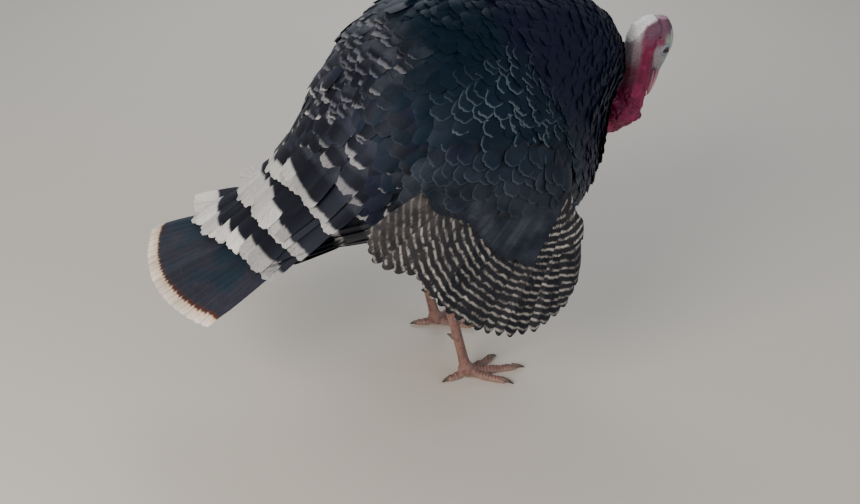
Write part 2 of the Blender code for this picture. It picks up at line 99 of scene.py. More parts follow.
COMMON = {  # for each short name the node, its settings, the order of its inputs, and its output
    "step": ("ShaderNodeMapRange", {"interpolation_type": "SMOOTHSTEP"}, (0, 1, 2), 0),
    "blend": ("ShaderNodeMix", {"data_type": "RGBA"}, (0, 6, 7), 2),
    "noise": ("ShaderNodeTexNoise", {}, ("Vector", "Scale", "Detail", "Roughness"), "Fac"),
    "bump": ("ShaderNodeBump", {}, ("Height", "Strength", "Distance"), 0),
}


def feed(tree, socket, value):
    """Links a flow to a socket, or sets the socket to a value or to a hex colour."""
    if isinstance(value, Flow):
        tree.links.new(value.socket, socket)
    else:
        socket.default_value = linear(value) if str(value).startswith("#") else value


def add(tree, kind, *values, inputs=None, **settings):
    """Adds a node. Values go to its inputs in order, and the dict holds those that are given by name."""
    kind, usual, order, output = COMMON.get(kind, (kind, {}, range(len(values)), 0))
    made = tree.nodes.new(kind)
    for name, value in {**usual, **settings}.items():
        setattr(made, name, value)
    for name, value in {**dict(zip(order, values)), **(inputs or {})}.items():
        feed(tree, made.inputs[name], value)
    return Flow(made, output) if len(made.outputs) else made


def new_material(name, **inputs):
    """A material with these inputs of its shader."""
    made = bpy.data.materials.new(name)
    made.use_nodes = True
    return shade(made, **inputs)


def shade(material, **inputs):
    """Feeds a material's shader. Spaces in the names of its inputs are written as underscores."""
    tree = material.node_tree
    for name, value in inputs.items():
        feed(tree, tree.nodes["Principled BSDF"].inputs[name.replace("_", " ")], value)
    return material


def times_grey(colour, value):
    """A colour made darker or lighter by a value."""
    grey = value.to("ShaderNodeCombineXYZ", value, value)
    return add(value.tree, "blend", 1.0, colour, grey, blend_type="MULTIPLY")


# %% Helpers for blends and meshes
def ramp(value, start, end):
    """0 before start, 1 after end, and smooth between them. Works on numbers and on arrays."""
    share = np.clip((np.asarray(value, float) - start) / (end - start), 0.0, 1.0)
    share = share * share * (3 - 2 * share)
    return share if share.ndim else float(share)


def mix(a, b, share):
    return a + (b - a) * share


def bell(far, width):
    """1 where far is 0, falling away to both sides over this width."""
    return np.exp(-((far / width) ** 2))


def flat_on(lie, normal):
    """A direction laid flat on the slope that this normal stands on."""
    return (lie - normal * lie.dot(normal)).normalized()


def around(number):
    """Angles in equal steps round a full turn."""
    return [2 * math.pi * k / number for k in range(number)]


def placed(name, data):
    """An object in the scene that shows this mesh, lamp or camera."""
    made = bpy.data.objects.new(name, data)
    bpy.context.scene.collection.objects.link(made)
    return made


def mesh_object(name, points, faces, material=None, edges=()):
    mesh = bpy.data.meshes.new(name)
    mesh.from_pydata([tuple(p) for p in points], edges, faces)
    mesh.shade_smooth()
    if material:
        mesh.materials.append(material)
    return placed(name, mesh)


def mesh_of(work, name):
    """Turns a bmesh into a mesh and frees it."""
    mesh = bpy.data.meshes.new(name)
    work.to_mesh(mesh)
    work.free()
    return mesh


def keep(mesh, label, values, kind="FLOAT", domain="POINT"):
    """Keeps a value for each point or edge of a mesh, for the materials and the feather tree."""
    key = {"FLOAT_VECTOR": "vector", "FLOAT_COLOR": "color"}.get(kind, "value")
    mesh.attributes.new(label, kind, domain).data.foreach_set(key, np.array(values).ravel())


def frozen(obj):
    """Turns what the modifiers show into the object's own plain mesh."""
    bpy.context.view_layer.update()
    graph = bpy.context.evaluated_depsgraph_get()
    mesh = bpy.data.meshes.new_from_object(obj.evaluated_get(graph))
    mesh.name = obj.name
    old = obj.data
    obj.modifiers.clear()
    obj.data = mesh
    bpy.data.meshes.remove(old)
    return obj


def count(obj):
    return sum(len(face.vertices) - 2 for face in obj.data.polygons)


def hand_over(piece, slot, *stands_for):
    """Ties a finished piece to the bird's one body and hides the solids that it stands for."""
    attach(piece, "root")
    if stands_for:
        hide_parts(*stands_for)
    return piece


# %% [markdown]
# ## Feather finishes
# A feather is keratin, as a fingernail is. Dark ones owe their navy, green and purple gloss to thin layers
# over black pigment, and pale bands have no pigment at all. All contour feathers share one material: each
# vane carries numbers of its own for how wide and how pale its tip is, how strong its edge is and how bronze
# its ground, and the material reads them beside the vane's own lengthwise and crosswise coordinates. The
# barbs are about 0.4 mm apart on the bird and are drawn a little under 1 mm apart, or they would not show.

# %% What every feather material starts from
VALUES = ("white_mm", "black_mm", "pale", "edge", "bronze", "violet", "tint")  # what each vane carries


class Vane:
    """The coordinates of a vane in millimetres, its barbs, and the numbers that it carries."""

    def __init__(self, name):
        self.material = new_material(name)
        self.tree = self.material.node_tree
        for label in ("along", "across", "size", *VALUES):
            setattr(self, label, add(self.tree, "ShaderNodeAttribute", attribute_name=label)["Fac"])
        size = self.size["Vector"].to("ShaderNodeSeparateXYZ")
        self.out = self.across.to("ShaderNodeMath", operation="ABSOLUTE")
        self.mm_out = self.out * size[0] * 500.0
        self.to_tip = (1.0 - self.along) * size[1] * 1000.0
        to_side = (1.0 - self.out) * size[0] * 500.0
        self.to_margin = self.to_tip.to("ShaderNodeMath", to_side, 3.0, operation="SMOOTH_MIN")
        slant = self.along * size[1] * 1000.0 - self.mm_out * 1.1
        streaks = slant.to("ShaderNodeCombineXYZ", self.mm_out * 0.10, self.tint * 40.0)
        self.barbs = streaks.to("noise", 1.15, 2.0, 0.65)
        self.spot = add(self.tree, "ShaderNodeTexCoord")["Object"]

    def cloud(self, scale, detail=2.0, shift=0.0):
        """A soft cloud over the body, in patches of about 1/scale metres."""
        return self.spot.to("ShaderNodeMapping", (shift, shift, shift)).to("noise", scale, detail)

    def finish(self, colour, roughness, shaft, shaft_share, bump=0.35, sheen=0.04):
        """Adds the shaft and the fine streaks of the barbs, and feeds the shader."""
        on_shaft = (1.0 - self.mm_out.to("step", 0.25, 0.75)) * shaft_share
        streak = self.barbs.to("step", 0.25, 0.75) * 0.50 + 0.75
        colour = times_grey(colour, streak * (self.tint * 0.35 + 0.82))
        return shade(
            self.material, Base_Color=on_shaft.to("blend", colour, shaft),
            Roughness=self.barbs * 0.25 + (roughness - 0.12),
            Normal=(self.barbs + on_shaft * 0.8).to("bump", bump, 0.0006),
            IOR=1.55, Specular_IOR_Level=0.20, Specular_Tint="#B9C6E6",
            Sheen_Weight=sheen, Sheen_Roughness=0.45, Sheen_Tint="#7F94B8")


# %% [markdown]
# ### Contour feathers
# The ground is black that turns navy, teal and purple in patches as wide as a hand, or bronze where the
# vane's own number says so. Over it come a black band before the tip, the pale tip, and a thin grey margin.

# %% The material of the contour feathers
def contour_feather():
    vane = Vane("feather_keratin_iridescent_and_banded")
    drift = (vane.cloud(9.0) - 0.5) * 1.8
    gloss = (vane.violet + drift).to("step", 0.25, 0.75).to("blend", "#051824", "#0C0F27")
    dark = vane.along.to("step", 0.10, 0.55).to("blend", "#111318", gloss)
    bronze = vane.cloud(26.0, shift=1.0).to("step", 0.30, 0.70).to("blend", "#2A2B32", "#4A4C55")
    ground = vane.bronze.to("blend", dark, bronze)
    wave = (vane.barbs - 0.5) * 8.0
    from_tip = vane.to_tip + wave + vane.out * vane.out * 2.0
    black = 1.0 - (from_tip - vane.black_mm).to("step", -5.0, 5.0)
    ground = black.to("blend", ground, "#181920")
    margin = (1.0 - (vane.to_margin + wave).to("step", 0.4, 4.6)) * vane.along.to("step", 0.50, 0.95)
    ground = (margin * vane.edge).to("blend", ground, "#59656F")
    white = 1.0 - (from_tip - vane.white_mm).to("step", -3.2, 3.2)
    colour = white.to("blend", ground, vane.pale.to("blend", "#585B64", "#ECEAE6"))
    return vane.finish(colour, 0.46, "#1A1B1E", 0.45)


contour = contour_feather()
print("material", contour.name, len(contour.node_tree.nodes), "nodes")

# %% [markdown]
# ### Barred quills and banded tail
# The flight quills are slate black with broken whitish bars across them, about 12 mm apart, which line up
# from quill to quill in arcs round the wrist, and turn plain bronze grey on the innermost ones. The tail
# quills are blue black with a cream tip and a rusty line in front of it.

# %% The materials of the wing and tail quills
BAR_CENTRE = (0.075 + HIP_X, 0.0, 0.375)  # the bars lie on circles round this point near the wrist
BAR_STEP = 12.4  # mm from one bar to the next


def wing_quill():
    vane = Vane("quill_keratin_slate_with_white_bars")
    wobble = (vane.cloud(38.0, 3.0) - 0.5) * 8.0
    from_wrist = vane.spot.to("ShaderNodeVectorMath", BAR_CENTRE, operation="SUBTRACT")
    flat = from_wrist.to("ShaderNodeVectorMath", (1000.0, 0.0, 1000.0), operation="MULTIPLY")
    far = flat.to("ShaderNodeVectorMath", operation="LENGTH")["Value"] + vane.mm_out * 0.15 + wobble
    phase = far.to("ShaderNodeMath", BAR_STEP, operation="DIVIDE") + vane.tint * 0.24 + vane.barbs * 0.16
    bars = phase.to("ShaderNodeMath", 0.5, operation="PINGPONG").to("step", 0.24, 0.44)
    broken = vane.cloud(95.0, 3.0, shift=2.0).to("step", 0.34, 0.56)
    faint = vane.cloud(16.0, shift=5.0).to("step", 0.38, 0.58) * 0.5 + 0.5
    bars = bars * broken * faint * vane.mm_out.to("step", 0.2, 1.0) * (1.0 - vane.bronze)
    slate = vane.tint.to("blend", "#1C1E23", "#2B2A2D")
    bronze = vane.cloud(45.0).to("step", 0.35, 0.65).to("blend", "#403C3B", "#625C58")
    ground = vane.bronze.to("blend", slate, bronze)
    colour = bars.to("blend", ground, vane.pale.to("blend", "#6C6866", "#C8C3BA"))
    return vane.finish(colour, 0.44, "#3A3432", 0.8, bump=0.45, sheen=0.03)


def tail_quill():
    vane = Vane("quill_keratin_blue_black_with_cream_tip")
    from_tip = vane.to_tip + (vane.barbs - 0.5) * 5.0 + vane.out * vane.out * 3.0
    ground = (vane.barbs.to("step", 0.56, 0.66) * 0.30).to("blend", "#30303A", "#5B5864")
    ground = vane.cloud(14.0).to("step", 0.50, 0.66).to("blend", ground, "#22303C")
    rust = (1.0 - from_tip.to("step", 22.0, 30.0)) * vane.edge
    tip = from_tip.to("step", 2.0, 19.0).to("blend", "#F6EADB", "#E8CDB2")
    colour = (1.0 - from_tip.to("step", 17.0, 22.0)).to("blend", rust.to("blend", ground, "#553222"), tip)
    return vane.finish(colour, 0.42, "#2A2522", 0.7, bump=0.45, sheen=0.03)


wing_finish = wing_quill()
tail_finish = tail_quill()
print("quill materials", wing_finish.name, tail_finish.name)

# %% [markdown]
# ## One vane, closed on all sides
# A feather blade is modelled once for each kind and then repeated. It is a thin lens of two nets of quads
# that share their rim, so it is a closed solid with no loose edge, and the rim is kept sharp so that its
# shading stays flat. The blade is arched across, hooked along its length so that its tip presses on what
# lies below, and raised along the shaft. A few notches in its tip keep it from looking stamped. Each point
# also stores how far along and across the vane it lies, for the materials.

# %% The shape of a vane
def blade_width(t, full, tip):
    """Half width of the blade, as a share of the most, t of the way from root to tip."""
    return (0.22 + 0.78 * ramp(t, 0.0, full)) * (1 - (1 - tip) * ramp(t, 0.62, 1.0) ** 1.6)


def vane(name, rows, columns=8, full=0.45, tip=0.45, round_tip=0.16, arch=0.16, hook=0.10, lean=0.0,
         notches=(), shaft=0.3, ragged=0.0):
    """A blade one unit long and one wide, root at the origin, tip on +Y, outer side on +Z."""
    points, along, across = [], [], []
    fray = np.random.default_rng(len(name) * 31 + ord(name[-1])).normal(size=columns + 1) * ragged
    for layer in (1, -1):
        for r in range(rows + 1):
            t = r / rows
            for c in range(columns + 1):
                s = 2 * c / columns - 1
                half = 0.5 * blade_width(t, full, tip) * (1 + lean * s)
                cut = (sum(depth for column, depth in notches if column == c) + fray[c]) * ramp(t, 0.6, 1.0)
                body = 0.010 * (1 - s * s) * math.sin(math.pi * t)
                ridge = shaft * 0.02 * (1 - t) if c == columns // 2 else 0.0
                height = arch * (1 - s * s) * half - hook * t * t + layer * (body + ridge)
                points.append((s * half, t * (1 - cut) - round_tip * s * s * t * t, height))
                along.append(t)
                across.append(s)
    wide = columns + 1
    layer_size = (rows + 1) * wide
    rim = {r * wide + c for r in range(rows + 1) for c in range(wide) if r in (0, rows) or c in (0, columns)}
    faces = []
    for a in (r * wide + c for r in range(rows) for c in range(columns)):
        quad = (a, a + 1, a + wide + 1, a + wide)
        faces.append(quad)
        faces.append(tuple(i if i in rim else i + layer_size for i in reversed(quad)))
    used = sorted({i for face in faces for i in face})
    new = {old: k for k, old in enumerate(used)}
    made = mesh_object(name, [points[i] for i in used], [tuple(new[i] for i in face) for face in faces])
    bpy.context.scene.collection.objects.unlink(made)
    keep(made.data, "along", [along[i] for i in used])
    keep(made.data, "across", [across[i] for i in used])
    on_rim = {new[i] for i in rim}
    keep(made.data, "sharp_edge", [on_rim.issuperset(e.vertices) for e in made.data.edges], "BOOLEAN", "EDGE")
    return made


def kind_of(name, *vanes):
    """A set of like vanes, from which the feather tree picks by number."""
    kinds = bpy.data.collections.new(name + "_vanes")
    for made in vanes:
        kinds.objects.link(made)
    print(name, [(made.name, count(made)) for made in vanes])
    return kinds


# %% The vane prototypes
contour_kinds = kind_of(
    "contour",
    vane("contour_a", 6, tip=0.74, round_tip=0.11, arch=0.07, hook=0.036, notches=((3, 0.025),),
         ragged=0.014),
    vane("contour_b", 6, tip=0.80, round_tip=0.09, arch=0.08, hook=0.030, notches=((6, 0.04),), ragged=0.016),
    vane("contour_c", 6, tip=0.66, round_tip=0.13, arch=0.06, hook=0.042, ragged=0.018),
)
downy_kinds = kind_of(
    "downy",
    vane("downy_a", 5, full=0.7, tip=0.7, arch=0.24, hook=0.12, notches=((1, 0.16), (4, 0.08), (7, 0.12)),
         ragged=0.03),
    vane("downy_b", 5, full=0.6, tip=0.6, arch=0.20, hook=0.14, notches=((2, 0.15), (5, 0.10)), ragged=0.03),
)
long = {"rows": 8, "full": 0.35, "arch": 0.07}
covert_kinds = kind_of(
    "covert",
    vane("covert_a", tip=0.92, round_tip=0.05, hook=0.03, notches=((2, 0.02),), ragged=0.010, **long),
    vane("covert_b", tip=0.88, round_tip=0.06, hook=0.035, notches=((6, 0.02),), ragged=0.012, **long),
)
stiff = {"rows": 12, "full": 0.2}
primary_kinds = kind_of(
    "primary",
    vane("primary", tip=0.62, round_tip=0.06, arch=0.20, hook=0.05, lean=0.16, shaft=0.6,
         notches=((2, 0.01),), **stiff))
secondary_kinds = kind_of(
    "secondary",
    vane("secondary", tip=0.80, round_tip=0.06, arch=0.16, hook=0.05, lean=0.12, shaft=0.5,
         notches=((6, 0.02),), **stiff))
tail_kinds = kind_of(
    "tail",
    vane("rectrix", tip=0.78, round_tip=0.035, arch=0.14, hook=0.03, shaft=0.5,
         notches=((3, 0.015), (6, 0.01)), **stiff))
bristle_kinds = kind_of(
    "bristle",
    vane("bristle", 3, 2, full=0.2, tip=0.15, round_tip=0.0, arch=0.3, hook=0.12))

# %% [markdown]
# ## The feather tree
# Repeating a shape by hand would take thousands of copies, so one Geometry Nodes tree does it. It takes bare
# points, each with a turn, a size and a kind, puts a vane on each, makes the copies real, ruffles them with
# a slow noise so that no two stand alike, and writes the map on which the colours can be baked: each feather
# is a small patch at its root's place on the unrolled skin.

# %% The Geometry Nodes tree that lays feathers
def open_tree(name, *sockets):
    """A Geometry Nodes tree with these inputs, its input node, and the key of each input on a modifier."""
    tree = bpy.data.node_groups.new(name, "GeometryNodeTree")
    keys = {}
    for label, kind, *usual in (("Geometry", "Geometry"), *sockets):
        socket = tree.interface.new_socket(label, in_out="INPUT", socket_type="NodeSocket" + kind)
        keys[label] = socket.identifier
        if usual:
            socket.default_value = usual[0]
    tree.interface.new_socket("Geometry", in_out="OUTPUT", socket_type="NodeSocketGeometry")
    return tree, add(tree, "NodeGroupInput"), keys


def grow(obj, tree, keys, **values):
    """Runs a tree on an object and keeps what it makes. Spaces in names are written as underscores."""
    layer = obj.modifiers.new(tree.name, "NODES")
    layer.node_group = tree
    for label, value in values.items():
        layer[keys[label.replace("_", " ")]] = value
    return frozen(obj)


def feather_tree():
    tree, given, keys = open_tree(
        "lay_feathers", ("Vanes", "Collection"), ("Finish", "Material"), ("Ruffle height", "Float", 0.0015),
        ("Ruffles per metre", "Float", 45.0), ("Seed", "Float", 4.0))
    kept = {}
    for name, kind in (("kind", "INT"), ("along", "FLOAT"), ("across", "FLOAT"), ("turn", "FLOAT_VECTOR"),
                       ("size", "FLOAT_VECTOR"), ("patch", "FLOAT_VECTOR"), ("root_map", "FLOAT_VECTOR")):
        kept[name] = add(tree, "GeometryNodeInputNamedAttribute", name, data_type=kind)
    vanes = add(tree, "GeometryNodeCollectionInfo", inputs={
        "Collection": given["Vanes"], "Separate Children": True, "Reset Children": True})
    laid = add(tree, "GeometryNodeInstanceOnPoints", inputs={
        "Points": given["Geometry"], "Instance": vanes, "Pick Instance": True, "Instance Index": kept["kind"],
        "Rotation": kept["turn"], "Scale": kept["size"]})
    slow = add(tree, "ShaderNodeTexNoise", noise_dimensions="4D", inputs={
        "Scale": given["Ruffles per metre"], "Detail": 1.0, "W": given["Seed"]})["Color"]
    centred = slow.to("ShaderNodeVectorMath", (0.5, 0.5, 0.5), operation="SUBTRACT")
    height = given["Ruffle height"] * kept["along"]
    push = centred.to("ShaderNodeVectorMath", operation="SCALE", inputs={"Scale": height})
    ruffled = laid.to("GeometryNodeRealizeInstances").to("GeometryNodeSetPosition", inputs={"Offset": push})
    local = (kept["across"] * 0.5 + 0.5).to("ShaderNodeCombineXYZ", kept["along"])
    patch = local.to("ShaderNodeVectorMath", kept["patch"], kept["root_map"], operation="MULTIPLY_ADD")
    mapped = ruffled.to("GeometryNodeStoreNamedAttribute", data_type="FLOAT2", domain="CORNER", inputs={
        "Name": "OFBake", "Value": patch})
    mapped.to("GeometryNodeSetMaterial", inputs={"Material": given["Finish"]}).to("NodeGroupOutput")
    return tree, keys


FEATHER_TREE = feather_tree()
print("tree", FEATHER_TREE[0].name, len(FEATHER_TREE[0].nodes), "nodes")

# %% One coat piece from a list of feathers
def turned(along, outward, lift, twist=0.0):
    """The turn of a vane that lies along a direction, lifted off the skin and twisted about its shaft."""
    y = along.normalized()
    z = flat_on(outward, y)
    turn = Matrix((y.cross(z), y, z)).transposed()
    return (turn @ Matrix.Rotation(lift, 3, "X") @ Matrix.Rotation(twist, 3, "Y")).to_euler()


def feathers(name, spots, kinds, finish, slot, *stands_for, ruffle=0.0015):
    """One coat piece from a list of spots, each a dict of its place, turn, size, map place and marking."""
    made = mesh_object(name, [s["place"] for s in spots], [])
    for label in ("turn", "size", "root_map", "patch"):
        keep(made.data, label, [tuple(s[label]) for s in spots], "FLOAT_VECTOR")
    keep(made.data, "kind", [s["kind"] for s in spots], "INT")
    for label in VALUES:
        keep(made.data, label, [float(s.get(label, 0.0)) for s in spots])
    grow(made, *FEATHER_TREE, Vanes=kinds, Finish=finish, Ruffle_height=ruffle)
    made.data.shade_smooth()
    for label in ("turn", "root_map", "patch", "kind"):
        if label in made.data.attributes:
            made.data.attributes.remove(made.data.attributes[label])
    print(name, len(spots), "feathers", count(made), "triangles")
    return hand_over(made, slot, *stands_for)


# %% [markdown]
# ## Rows over the body
# Feathers grow in rows round the body, from the breast to the tail, like tiles from the ridge down. A
# straight line inside the body serves as the axis: rays that come in at right angles to it find the outer
# form and its slope. A ray that slips in between two solids meets a slope that is steep or faces away, and
# is sent again from slightly farther back. Rows are spaced by true distance along the surface, and each row
# by true distance round it, so that the cover is even.

# %% Find the outer form round the body's axis
SIDE = Vector((0, 1, 0))
BACK = Vector((-0.3995 + HIP_X, 0, 0.262))
NECK_ROOT = Vector((0.228 + HIP_X, 0, 0.418))


def search_tree(*names):
    """A search tree over the faces of these solids, and the solid that each face belongs to."""
    points, faces, owner = [], [], []
    for name in names:
        mesh = nodes[name].data
        start = len(points)
        points += [v.co.copy() for v in mesh.vertices]
        faces += [tuple(start + i for i in p.vertices) for p in mesh.polygons]
        owner += [name] * len(mesh.polygons)
    return BVHTree.FromPolygons(points, faces), owner


def foremost(solid, lie):
    """The point of a solid that lies farthest along a direction, just below its surface."""
    best = max((v.co for v in nodes[solid].data.vertices), key=lambda co: co.dot(lie))
    return Vector((best.x, 0, best.z)) - lie * 0.0006


FEATHERED = ("trunk", "neck_plumage", "tail_coverts", "wing_right_coverts", "wing_left_coverts")
outer, outer_owner = search_tree(*FEATHERED)
bare, _ = search_tree("neck", "caruncles", "head", "beard")
FRONT = foremost("neck_plumage", Vector((0.9, 0, 0.4)).normalized())
for _ in range(4):
    FRONT = foremost("neck_plumage", (FRONT - BACK).normalized())
AXIS = (BACK - FRONT).normalized()
RISE = Vector((AXIS.z, 0, -AXIS.x))
print("the axis starts at", [round(c, 4) for c in FRONT])


OUTSIDE = 0.45  # rays start this far from the axis, which is clear of the bird


def on_body(v, turn):
    """Place, outward normal and solid at v of the way from breast to tail and this turn round the axis."""
    out = SIDE * math.cos(turn) + RISE * math.sin(turn)
    hit, normal, index, _ = outer.ray_cast(FRONT.lerp(BACK, v) + out * OUTSIDE, -out)
    if hit is not None and normal.dot(out) < 0.2:  # the ray slipped in between two solids
        hit, normal, index, _ = outer.ray_cast(FRONT.lerp(BACK, v + 0.004) + out * OUTSIDE, -out)
    if hit is None:
        return FRONT.lerp(BACK, v), out, "trunk"
    return hit, normal, outer_owner[index]


def soft_normal(v, turn):
    """The slope of the form, averaged over the width of a feather."""
    total = Vector()
    for dv, dt in ((0, 0), (0.018, 0), (-0.018, 0), (0, 0.09), (0, -0.09)):
        total += on_body(min(0.999, max(0.001, v + dv)), turn + dt)[1]
    return total.normalized()


def ring_at(v, turns):
    return np.array([tuple(on_body(v, turn)[0]) for turn in turns])


def reach_along(line):
    """How far each point of a line is from its start, along the line."""
    return np.concatenate([[0.0], np.cumsum(np.linalg.norm(np.diff(line, axis=0), axis=1))])


TURNS = around(72)
steps_v = np.concatenate([np.linspace(0.0008, 0.06, 24), np.linspace(0.065, 0.9995, 150)])
rings = np.array([ring_at(v, TURNS) for v in steps_v])
run = np.concatenate([[0.0], np.cumsum(np.linalg.norm(np.diff(rings, axis=0), axis=2).mean(axis=1))])
last = float(run[-1])
print("the coat runs", round(last, 3), "m from breast to tail")


def v_at(distance):
    """Where on the axis the row is that lies this far along the surface from the breast."""
    return float(np.interp(distance, run, steps_v))


# %% [markdown]
# ## Where each feather lies and how it is marked
# The markings of a bronze tom go by region: dark and glossy on the breast and shoulders with thin grey
# edges, grey and brown bands across the middle of the back, and white tips that widen from row to row over
# the rump, up to the long tail coverts, which end in a broad black and a broad white band. The same numbers
# also set how big a feather is: as small as a coin by the neck, as long as a hand on the tail coverts.

# %% The wing's own lines, for the lie of its coverts and for the quills
WRIST = Vector((0.096 + HIP_X, -0.196, 0.385))
HAND_END = Vector((0.106 + HIP_X, -0.202, 0.350))
ELBOW = Vector((-0.085 + HIP_X, -0.186, 0.412))
WING_TIPS = (  # x from the hips and z of the edge that the tips make, from the foremost primary to the body
    (0.107, 0.232), (0.088, 0.190), (0.045, 0.158), (0.000, 0.155), (-0.047, 0.174), (-0.090, 0.206),
    (-0.124, 0.246), (-0.150, 0.290), (-0.190, 0.303), (-0.220, 0.328), (-0.214, 0.358),
)
PRIMARIES, SECONDARIES = 10, 14
QUILLS = PRIMARIES + SECONDARIES


def tip_edge():
    """The edge through the wing tips, in equal steps, one for each quill."""
    line = np.array([(x + HIP_X, z) for x, z in WING_TIPS])
    reach = reach_along(line)
    at = np.linspace(0, reach[-1], QUILLS)
    x, z = np.interp(at, reach, line[:, 0]), np.interp(at, reach, line[:, 1])
    return [Vector((x[k], -0.226 + 0.014 * k / (QUILLS - 1), z[k])) for k in range(QUILLS)]


TIPS = tip_edge()


def quill(k):
    """Root and tip of quill k of the right wing, also between two of them."""
    low = min(int(k), QUILLS - 2)
    tip = TIPS[low].lerp(TIPS[low + 1], k - low)
    if k < PRIMARIES:
        return HAND_END.lerp(WRIST, min(1.0, k / (PRIMARIES - 1))), tip
    return WRIST.lerp(ELBOW, (k - PRIMARIES + 1) / SECONDARIES), tip


def wing_lie(place):
    """The lie of the coverts at a place on the wing, which turns from down to back along it."""
    if place.x > WRIST.x:
        k = 9.0 - 7.0 * ramp(place.x, WRIST.x, WRIST.x + 0.03)
    else:
        k = 9.0 + 14.0 * min(1.0, (WRIST.x - place.x) / (WRIST.x - ELBOW.x))
    root, tip = quill(k)
    lie = (tip - root).normalized()
    return Vector((lie.x, lie.y * math.copysign(1, -place.y), lie.z))


# %% The lie and marking of the body feathers
def body_lie(v, turn, place, normal):
    """The lie runs off from the root of the neck, turns along the body and sags a little down its sides."""
    ahead = on_body(min(0.9995, v + 0.02), turn)[0] - on_body(max(0.001, v - 0.02), turn)[0]
    from_neck = place - NECK_ROOT
    share = ramp(from_neck.length, 0.06, 0.36)
    lie = from_neck.normalized() * (1 - share) + ahead.normalized() * share
    fall = ramp(v, 0.08, 0.30) * (0.62 + 0.25 * ramp(v, 0.5, 0.7)) * (1 - ramp(v, 0.80, 0.93))
    return flat_on(lie + Vector((0, 0, -fall)) * (1 - abs(normal.z) ** 3), normal)


SIZE_AT = (0, 0.05, 0.2, 0.4, 0.6, 0.8)  # shares of the way to the tail, and how big feathers are there
LENGTHS = (0.018, 0.028, 0.044, 0.054, 0.058, 0.064)
WIDTHS = (0.012, 0.018, 0.029, 0.036, 0.042, 0.048)


def body_marking(v, normal, chance):
    """Size in metres and marking of a body feather."""
    slope = normal.dot(RISE)
    top = ramp(slope, 0.64, 0.80)
    low = 1 - ramp(slope, 0.38, 0.58)
    under = ramp(-normal.z, 0.2, 0.8)
    rump = ramp(v, 0.60, 0.84)
    hind = ramp(v, 0.46, 0.56) * (1 - rump)
    saddle = top * ramp(v, 0.36, 0.45) * (1 - ramp(v, 0.62, 0.74))
    side = low * ramp(v, 0.18, 0.26) * (1 - ramp(v, 0.40, 0.50))
    flecked = float(chance > 0.72)
    return {
        "length": float(np.interp(v, SIZE_AT, LENGTHS)),
        "width": float(np.interp(v, SIZE_AT, WIDTHS)),
        "white_mm": -5.0 + saddle * (8.5 + 5.0 * chance) + (1 - saddle) * (hind * 7.0 + rump * 8.5) * flecked,
        "black_mm": -5.0 + 19.0 * saddle + 16.0 * rump,
        "pale": mix(max(0.08 * hind, 0.32 * rump), 0.12 * chance ** 2, saddle),
        "edge": 0.02 + 0.95 * side * float(chance > 0.30) + 0.20 * under + 0.08 * hind * chance,
        "bronze": min(1.0, 0.72 * saddle + 0.14 * low * ramp(v, 0.3, 0.4) + 0.06 * hind + 0.25 * rump),
        "violet": max(1 - ramp(v, 0.14, 0.28), 0.85 * ramp(v, 0.50, 0.62)),
    }


def spot_of(place, lie, normal, kind, mark, root_map, depth, draw, uneven=0.07):
    """A feather that roots below the outer form and whose tip reaches it."""
    length = mark["length"] * (1 - uneven + 2 * uneven * draw.random())
    lift = math.asin(min(0.5, (depth + 0.0004) / length)) + draw.normal() * 0.022
    swing = Matrix.Rotation(draw.normal() * 0.09, 3, normal)
    return {
        **mark, "place": place - normal * depth - lie * (length * 0.25), "kind": kind,
        "turn": turned(swing @ lie, normal, lift, draw.normal() * 0.07),
        "size": (mark["width"] * (0.94 + 0.12 * draw.random()), length, length * 0.9),
        "root_map": (*root_map, 0.0), "patch": (0.003, 0.003, 0.0), "tint": draw.random(),
    }


# %% [markdown]
# ### The tail's own directions and its coverts
# The tail is swung a little to the bird's right and slopes down. Its coverts turn from the lie of the body
# to that of the quill that they roof. The tips of each covert row end on one line across the tail, which
# slants by its own amount to each side, and their roots are moved until the tips lie on it.

# %% Tail coverts
TAIL_SWING, TAIL_PITCH = math.radians(9.8), math.radians(-24.5)
TAIL_START = Vector((-0.400 + HIP_X, 0, 0.262))
TAIL_TURN = Matrix.Rotation(TAIL_SWING, 3, "Z")
TAIL_BACK = TAIL_TURN @ Vector((-math.cos(TAIL_PITCH), 0, math.sin(TAIL_PITCH)))
TAIL_SIDE = TAIL_TURN @ SIDE
TAIL_UP = TAIL_SIDE.cross(TAIL_BACK)
ROOT_HALF_WIDTH, SHOWN, ROUND, SPREAD = 0.134, 0.123, 0.26, math.radians(33)
CovertRow = namedtuple("CovertRow", "tips right left length white_above white_low black")
COVERT_ROWS = [CovertRow(*row) for row in (  # where the tips end, slant to right and left, and the rest in mm
    (-5, 0.22, 0.18, 118, 29, 27, 84), (-8, 0.22, 0.18, 114, 28, 25, 82), (-73, 0.02, 0.0, 108, 52, 22, 86),
    (-77, 0.02, 0.0, 104, 50, 20, 84), (-127, 0.08, 0.0, 92, 27, 14, 50), (-131, 0.08, -0.05, 88, 26, 13, 48),
    (-154, 0.26, -0.2, 84, 18, 13, 34), (-174, 0.38, -0.35, 78, 12, 8, 28), (-193, 0.45, -0.45, 74, 8, 2, 26),
    (-212, 0.48, -0.5, 70, 5, -2, 24), (-231, 0.48, -0.5, 66, 3, -4, 22),
)]
BIG_ROWS = -140  # rows whose tips end behind this, in mm along the tail from its start, are the big ones
LAST_ROWS = -50  # and the tips of the last ones, behind this, lie on the quills
SLANT_ENDS = (-118.0, 80.0)  # mm to the right and left within which a row slants


